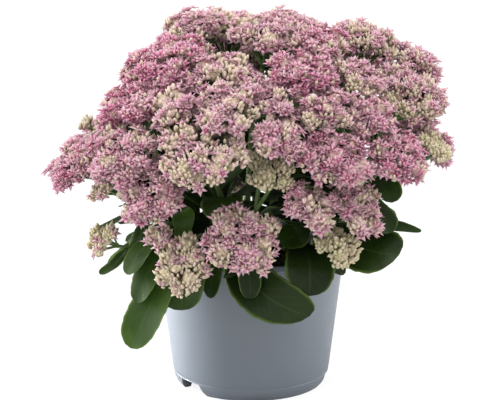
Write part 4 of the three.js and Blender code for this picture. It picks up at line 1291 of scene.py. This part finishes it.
def add_leaf(heap, leaf, rng):
    """A blade as one closed surface: rows along the midrib, each an oval section round it.
    Across is the cosine of the section's angle and thickness follows its sine."""
    rows, around = BLADE["grid"] if leaf.shown else BLADE["fill_grid"]
    share = np.linspace(*BLADE["ends"], rows)[:, None]
    angle = round_angles(around)
    across, above = np.cos(angle)[None], np.sin(angle)[None]
    out = across * leaf_half_width(leaf.width, share)

    def furrow(depth, width, side):
        """A hollow along the midrib, depth * e^(-(out / width)^2), shallower to the tip."""
        return depth * np.exp(-((out / width) ** 2)) * side * (1 - share)

    saw = (share * BLADE["teeth"] + 0.25 * np.sign(across) + rng.uniform(0, 1)) % 1
    teeth = BLADE["tooth"] * ease(share, *BLADE["toothed"]) * (saw - 0.5) * np.abs(across) ** 6
    thinning = np.minimum(1, BLADE["thin_tip"] * (1 - share)) * (1 - BLADE["thin_edge"] * np.abs(across))
    wave = np.sin(share * BLADE["waves"] + 2.2 * np.sign(across) + rng.uniform(0, 6))
    wave = BLADE["wave"] * leaf.width * wave * np.abs(across) ** 3
    wave = wave * ease(share, *BLADE["waved"]) * (1 - ease(share, *BLADE["calm_tip"]))
    height = above * LEAF["thickness"] / 2 * thinning + wave
    height = height + furrow(*BLADE["groove"], above > 0) + furrow(*BLADE["keel"], above < 0)
    body = leaf.points(share, across * (1 + teeth), height).reshape(-1, 3)
    base, tip = leaf.points(np.array([0.0, 1.0]), 0.0, 0.0)
    under = np.tile((above.ravel() < -0.05) * 1.0, rows)
    (left, left_light), (right, right_light) = TINT_AND_PAINTED_LIGHT["left"], TINT_AND_PAINTED_LIGHT["right"]
    # painted light: leaves at the left and right get a brighter tint
    painted_sunlight = left_light if leaf.tip[0] < left else right_light if leaf.tip[0] > right else 0
    points = np.concatenate([base[None], body, tip[None]])[None]
    heap.add(points, ring_triangles(rows, around), LEAF_SLOTS["blade"],
             share=np.concatenate([[0], np.repeat(share.ravel(), around), [1]]),
             across=np.concatenate([[0], np.tile(across.ravel(), rows), [0]]),
             tint=np.clip(rng.normal(TINT_AND_PAINTED_LIGHT["middle"], TINT_AND_PAINTED_LIGHT["spread"]) + painted_sunlight, 0, 1),
             tone=np.concatenate([[0], under, [0]]))


def add_stalk(heap, curve, size, knots, steps, around):
    """A tube of radius * (1 - taper * t), thicker at each knot, where a leaf or branch grows."""
    places, headings = bezier([point[None] for point in curve], steps)
    t = np.linspace(0, 1, steps)
    swell = sum((np.exp(-(((t - knot) * STALK["knot"]) ** 2)) for knot in knots), np.zeros(steps))
    radii = size["radius"] * (1 - size["taper"] * t) * (1 + STALK["swell"] * np.minimum(swell, 1))
    points, triangles = tubes(places, headings, radii[None], around)
    heap.add(points, triangles, LEAF_SLOTS["stalk"])


leaf_faces = 0
for number, trunk in enumerate(trunks):
    heap, rng = Heap(), np.random.default_rng(SEED + 100 + number)
    add_stalk(heap, trunk, TRUNK, (*LEAF_RULE["shares"], 0.97), *STALK["trunk"])
    for branch in branches[number]:
        add_stalk(heap, branch, BRANCH, (0.02, 0.98), *STALK["branch"])
    for leaf in leaves[number]:
        add_leaf(heap, leaf, rng)
    piece = heap.build(f"leafy_stem_{number + 1:02d}", [stalk, leaf_skin])
    leaf_faces += seat(piece, "foliage", f"stem_{number + 1:02d}")
print("triangles of stems and leaves:", leaf_faces)

# %% [markdown]
# ## The pot
#
# A nursery pot is injection moulded: a tapering wall, a stepped lip, a rounded foot with notches
# for the water, and a raised floor with holes. Its section is a short list of points whose
# corners are rounded by a curve, turned round the axis. The notches and holes are real cuts, so a
# Boolean modifier makes them, and it is applied at once to keep the mesh plain. The plastic is
# one colour all through. Clouds too faint to name and the fine grain of the mould are enough to
# keep its satin skin from looking painted.

# %% Pot shape
POT = {
    "lip_height": 6, "lip_step": 1, "lip_thickness": 3.2, "low_radius": 79.2, "low_height": 18,
    "corner_radius": 77.2, "corner_height": 6, "foot_radius": 72, "foot_inner": 65.5,
    "foot_draft": 1.5, "centre_foot": 15, "recess": 11, "floor_top": 14,
    "notches": (219, 352, 105), "notch_width": 32, "notch_height": 12.5, "notch_draft": 2.5,
    "seam_height": 13.5, "seam_width": 0.9, "seam_depth": 0.35,
    "hole_radius": 5, "hole_ring": 45, "holes": 4,
}
POT_SIDES = 144


def pot_profile():
    """The wall's section as corners of (radius, height, rounding), from axis to axis."""
    wall_top = POT_HEIGHT - POT["lip_height"] - POT["lip_step"]
    inner_top, inner_low = POT_WALL_TOP - WALL_THICKNESS, POT["low_radius"] - WALL_THICKNESS - 1
    seam, seam_half = POT["seam_height"], POT["seam_width"] / 2
    rise = (seam - POT["corner_height"]) / (POT["low_height"] - POT["corner_height"])
    seam_radius = POT["corner_radius"] + rise * (POT["low_radius"] - POT["corner_radius"])
    return np.array([
        (0, 0, 0),
        (POT["centre_foot"], 0, 0.5),
        (POT["centre_foot"] + POT["foot_draft"], POT["recess"], 0.8),
        (POT["foot_inner"] - POT["foot_draft"], POT["recess"], 0.8),
        (POT["foot_inner"], 0, 0.5),
        (POT["foot_radius"], 0, 1.2),
        (POT["corner_radius"], POT["corner_height"], 4.5),
        (seam_radius, seam - seam_half, 0.2),
        (seam_radius - POT["seam_depth"], seam, 0.2),
        (seam_radius, seam + seam_half, 0.2),
        (POT["low_radius"], POT["low_height"], 1.5),
        (POT_WALL_TOP, wall_top, 0.6),
        (RIM_RADIUS - 0.3, wall_top + POT["lip_step"], 1.0),
        (RIM_RADIUS, POT_HEIGHT, 1.4),
        (RIM_RADIUS - POT["lip_thickness"], POT_HEIGHT, 1.2),
        (inner_top, wall_top, 1.0),
        (inner_low, POT["floor_top"], 2.0),
        (0, POT["floor_top"], 0),
    ], float)


def rounded(corners, steps=5):
    """Each corner replaced by a short curve, (1-t)^2 start + 2t(1-t) corner + t^2 end, which
    starts and ends its rounding away from it."""
    place, rounding = corners[:, :2], corners[1:-1, 2:]
    corner = place[1:-1]
    start = corner + unit(place[:-2] - corner) * rounding
    end = corner + unit(place[2:] - corner) * rounding
    t = np.linspace(0, 1, steps)[:, None, None]
    curve = (1 - t) ** 2 * start + 2 * t * (1 - t) * corner + t**2 * end
    return np.concatenate([place[:1], curve.transpose(1, 0, 2).reshape(-1, 2), place[-1:]])


def add_turned(heap, profile, sides):
    """A profile from axis to axis, turned round Z: (radius cosine, radius sine, height)."""
    angle, ring = round_angles(sides), profile[1:-1]
    body = np.stack([ring[:, :1] * np.cos(angle), ring[:, :1] * np.sin(angle),
                     np.broadcast_to(ring[:, 1:], (len(ring), sides))], -1)
    ends = np.array([[0, 0, profile[0, 1]], [0, 0, profile[-1, 1]]])
    points = np.concatenate([ends[:1], body.reshape(-1, 3), ends[1:]])[None]
    heap.add(points, ring_triangles(len(ring), sides), 0)


print("points of the pot's section:", len(rounded(pot_profile())))

# %% Pot material
def pot_material():
    """Moulded plastic: one blue-grey with faint clouds, a fine skin grain and a satin gloss."""
    material, tree, surface = new_material("moulded plastic", 0.34, Specular_IOR_Level=0.7)
    colour = mottled(tree, (0.112, 0.130, 0.156), (0.105, 0.122, 0.147), 14.0)
    feed(tree, surface["Base Color"], colour)
    feed(tree, surface["Roughness"], satin(tree, 0.34, 0.07, 60.0))
    height = place_group(tree, grain, Scale=2200.0)["Height"]
    feed(tree, surface["Normal"], bump(tree, height, 0.12, 0.0002))
    return material


plastic = pot_material()
print("pot material:", plastic.name)

# %% The pot and its cuts
CUTTER = {"below": 1, "inner": 4, "outer": 90, "hole_ends": (-5, 20), "hole_sides": 32}
SHARP_FROM = math.radians(40)


def notch_cutter(azimuth):
    """A bar along the radius, wider at the table than at the top, at an azimuth in degrees."""
    half, draft, top = POT["notch_width"] / 2, POT["notch_draft"], POT["notch_height"]
    low = -CUTTER["below"]
    outline = np.array([(-half - draft, low), (half + draft, low), (half - draft, top), (-half + draft, top)])
    turn = math.radians(azimuth)
    out, side = np.array([[math.cos(turn), math.sin(turn), 0], [-math.sin(turn), math.cos(turn), 0]])
    flat = outline[:, :1] * side + outline[:, 1:] * [0, 0, 1]
    near, far = (flat + out * radius for radius in (POT["foot_inner"] - CUTTER["inner"], CUTTER["outer"]))
    heap = Heap()
    points = np.concatenate([near.mean(0)[None], near, far, far.mean(0)[None]])[None]
    heap.add(points, ring_triangles(2, len(outline)), 0)
    return heap.build(f"notch_{azimuth}", [])


def hole_cutter(number):
    """A round rod through the floor, one of a ring of them."""
    angle = math.pi / 4 + number / POT["holes"] * 2 * math.pi
    centre = POT["hole_ring"] * np.array([math.cos(angle), math.sin(angle), 0])
    up = np.array([0, 0, 1.0])
    places = np.array([[centre + up * height for height in CUTTER["hole_ends"]]])
    radii = np.full((1, 2), float(POT["hole_radius"]))
    heap = Heap()
    points, triangles = tubes(places, np.array([[up, up]]), radii, CUTTER["hole_sides"])
    heap.add(points, triangles, 0)
    return heap.build(f"hole_{number}", [])


pot_heap = Heap()
add_turned(pot_heap, rounded(pot_profile()), POT_SIDES)
pot = pot_heap.build("moulded_pot", [plastic])
cutters = [notch_cutter(azimuth) for azimuth in POT["notches"]]
cutters += [hole_cutter(number) for number in range(POT["holes"])]
for cutter in cutters:
    cut = pot.modifiers.new("cut", "BOOLEAN")
    cut.operation, cut.object, cut.solver = "DIFFERENCE", cutter, "EXACT"
bpy.context.view_layer.update()
evaluated = pot.evaluated_get(bpy.context.evaluated_depsgraph_get())
cut_mesh = bpy.data.meshes.new_from_object(evaluated)
pot.modifiers.clear()
pot.data = cut_mesh
cut_mesh.set_sharp_from_angle(angle=SHARP_FROM)
for cutter in cutters:
    bpy.data.objects.remove(cutter)
print("pot faces:", seat(pot, "pot", "pot"))

# %% [markdown]
# ## The soil
#
# Potting soil is dark, damp and crumbly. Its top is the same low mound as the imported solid, with
# a small roughness added, and some four hundred crumbs of bark and peat lie half sunk in it.
# Scattered stones of real geometry catch the light better than any bump. Below the rim the soil
# is a plain plug, because nobody sees it there.

# %% Soil
SOIL_MESH = {"rings": 46, "sides": 120, "clearance": 2.2, "middle": 1.5, "settled": 0.6, "grit": 0.25}
CRUMBS = {"count": 420, "margin": 8, "sizes": (2.5, 7)}


def soil_material():
    """Dark compost: brown patches, fine grain and hardly any gloss."""
    material, tree, surface = new_material("compost", 0.95)
    skin = mottled(tree, (0.010, 0.007, 0.005), (0.040, 0.025, 0.015), 260.0)
    crumb = maths(tree, "MULTIPLY", value_of(tree, "tint"), 0.5)
    feed(tree, surface["Base Color"], blend_colours(tree, crumb, skin, rgb(0.07, 0.045, 0.028)))
    height = place_group(tree, grain, Scale=700.0)["Height"]
    feed(tree, surface["Normal"], bump(tree, height, 0.9, 0.002))
    return material


def add_soil(heap, rng):
    """Rings from the middle of the floor out to the wall, then over the top to its middle: the
    mound's height plus two crossing waves and grit."""
    rings, sides = SOIL_MESH["rings"], SOIL_MESH["sides"]
    edge = POT_WALL_TOP - WALL_THICKNESS - SOIL_MESH["clearance"]
    radius = np.linspace(edge, SOIL_MESH["middle"], rings)[:, None]
    angle = round_angles(sides)
    x, y = radius * np.cos(angle), radius * np.sin(angle)
    rough = 0.6 * np.sin(x * 0.9 + 2) * np.sin(y * 0.8) + 0.4 * np.sin(x * 1.7 - y * 1.3)
    height = soil_height(x, y) - SOIL_MESH["settled"] + rough
    top = np.stack([x, y, height + rng.normal(0, SOIL_MESH["grit"], x.shape)], -1)
    low, floor_height = POT["low_radius"] - WALL_THICKNESS - SOIL_MESH["clearance"], POT["floor_top"] + GAP
    bottom = np.stack([low * np.cos(angle), low * np.sin(angle), np.full(sides, floor_height)], -1)
    body = np.concatenate([bottom[None], top]).reshape(-1, 3)
    poles = np.array([[0, 0, floor_height], [0, 0, soil_height(0, 0)]])
    points = np.concatenate([poles[:1], body, poles[1:]])[None]
    heap.add(points, ring_triangles(rings + 1, sides), 0)


def add_crumbs(heap, rng):
    """Small lumps: the shape of a bud, laid on its side at a random place on the soil."""
    count = CRUMBS["count"]
    radius = (POT_WALL_TOP - CRUMBS["margin"]) * np.sqrt(rng.random(count))
    angle = rng.uniform(0, 2 * math.pi, count)
    x, y = radius * np.cos(angle), radius * np.sin(angle)
    places = np.stack([x, y, soil_height(x, y)], -1)
    axes = unit(np.stack([rng.normal(0, spread, count) for spread in (1, 1, 0.3)], -1))
    size = rng.uniform(*CRUMBS["sizes"], count)
    points, triangles = eggs(places - axes * size[:, None] / 2, axes, rng.uniform(0, 6, count), size, BUD)
    heap.add(points, triangles, 0, tint=rng.random((count, 1)))


soil_heap, rng = Heap(), np.random.default_rng(SEED + 200)
add_soil(soil_heap, rng)
add_crumbs(soil_heap, rng)
soil = soil_heap.build("potting_soil", [soil_material()])
print("soil faces:", seat(soil, "soil", "soil"))
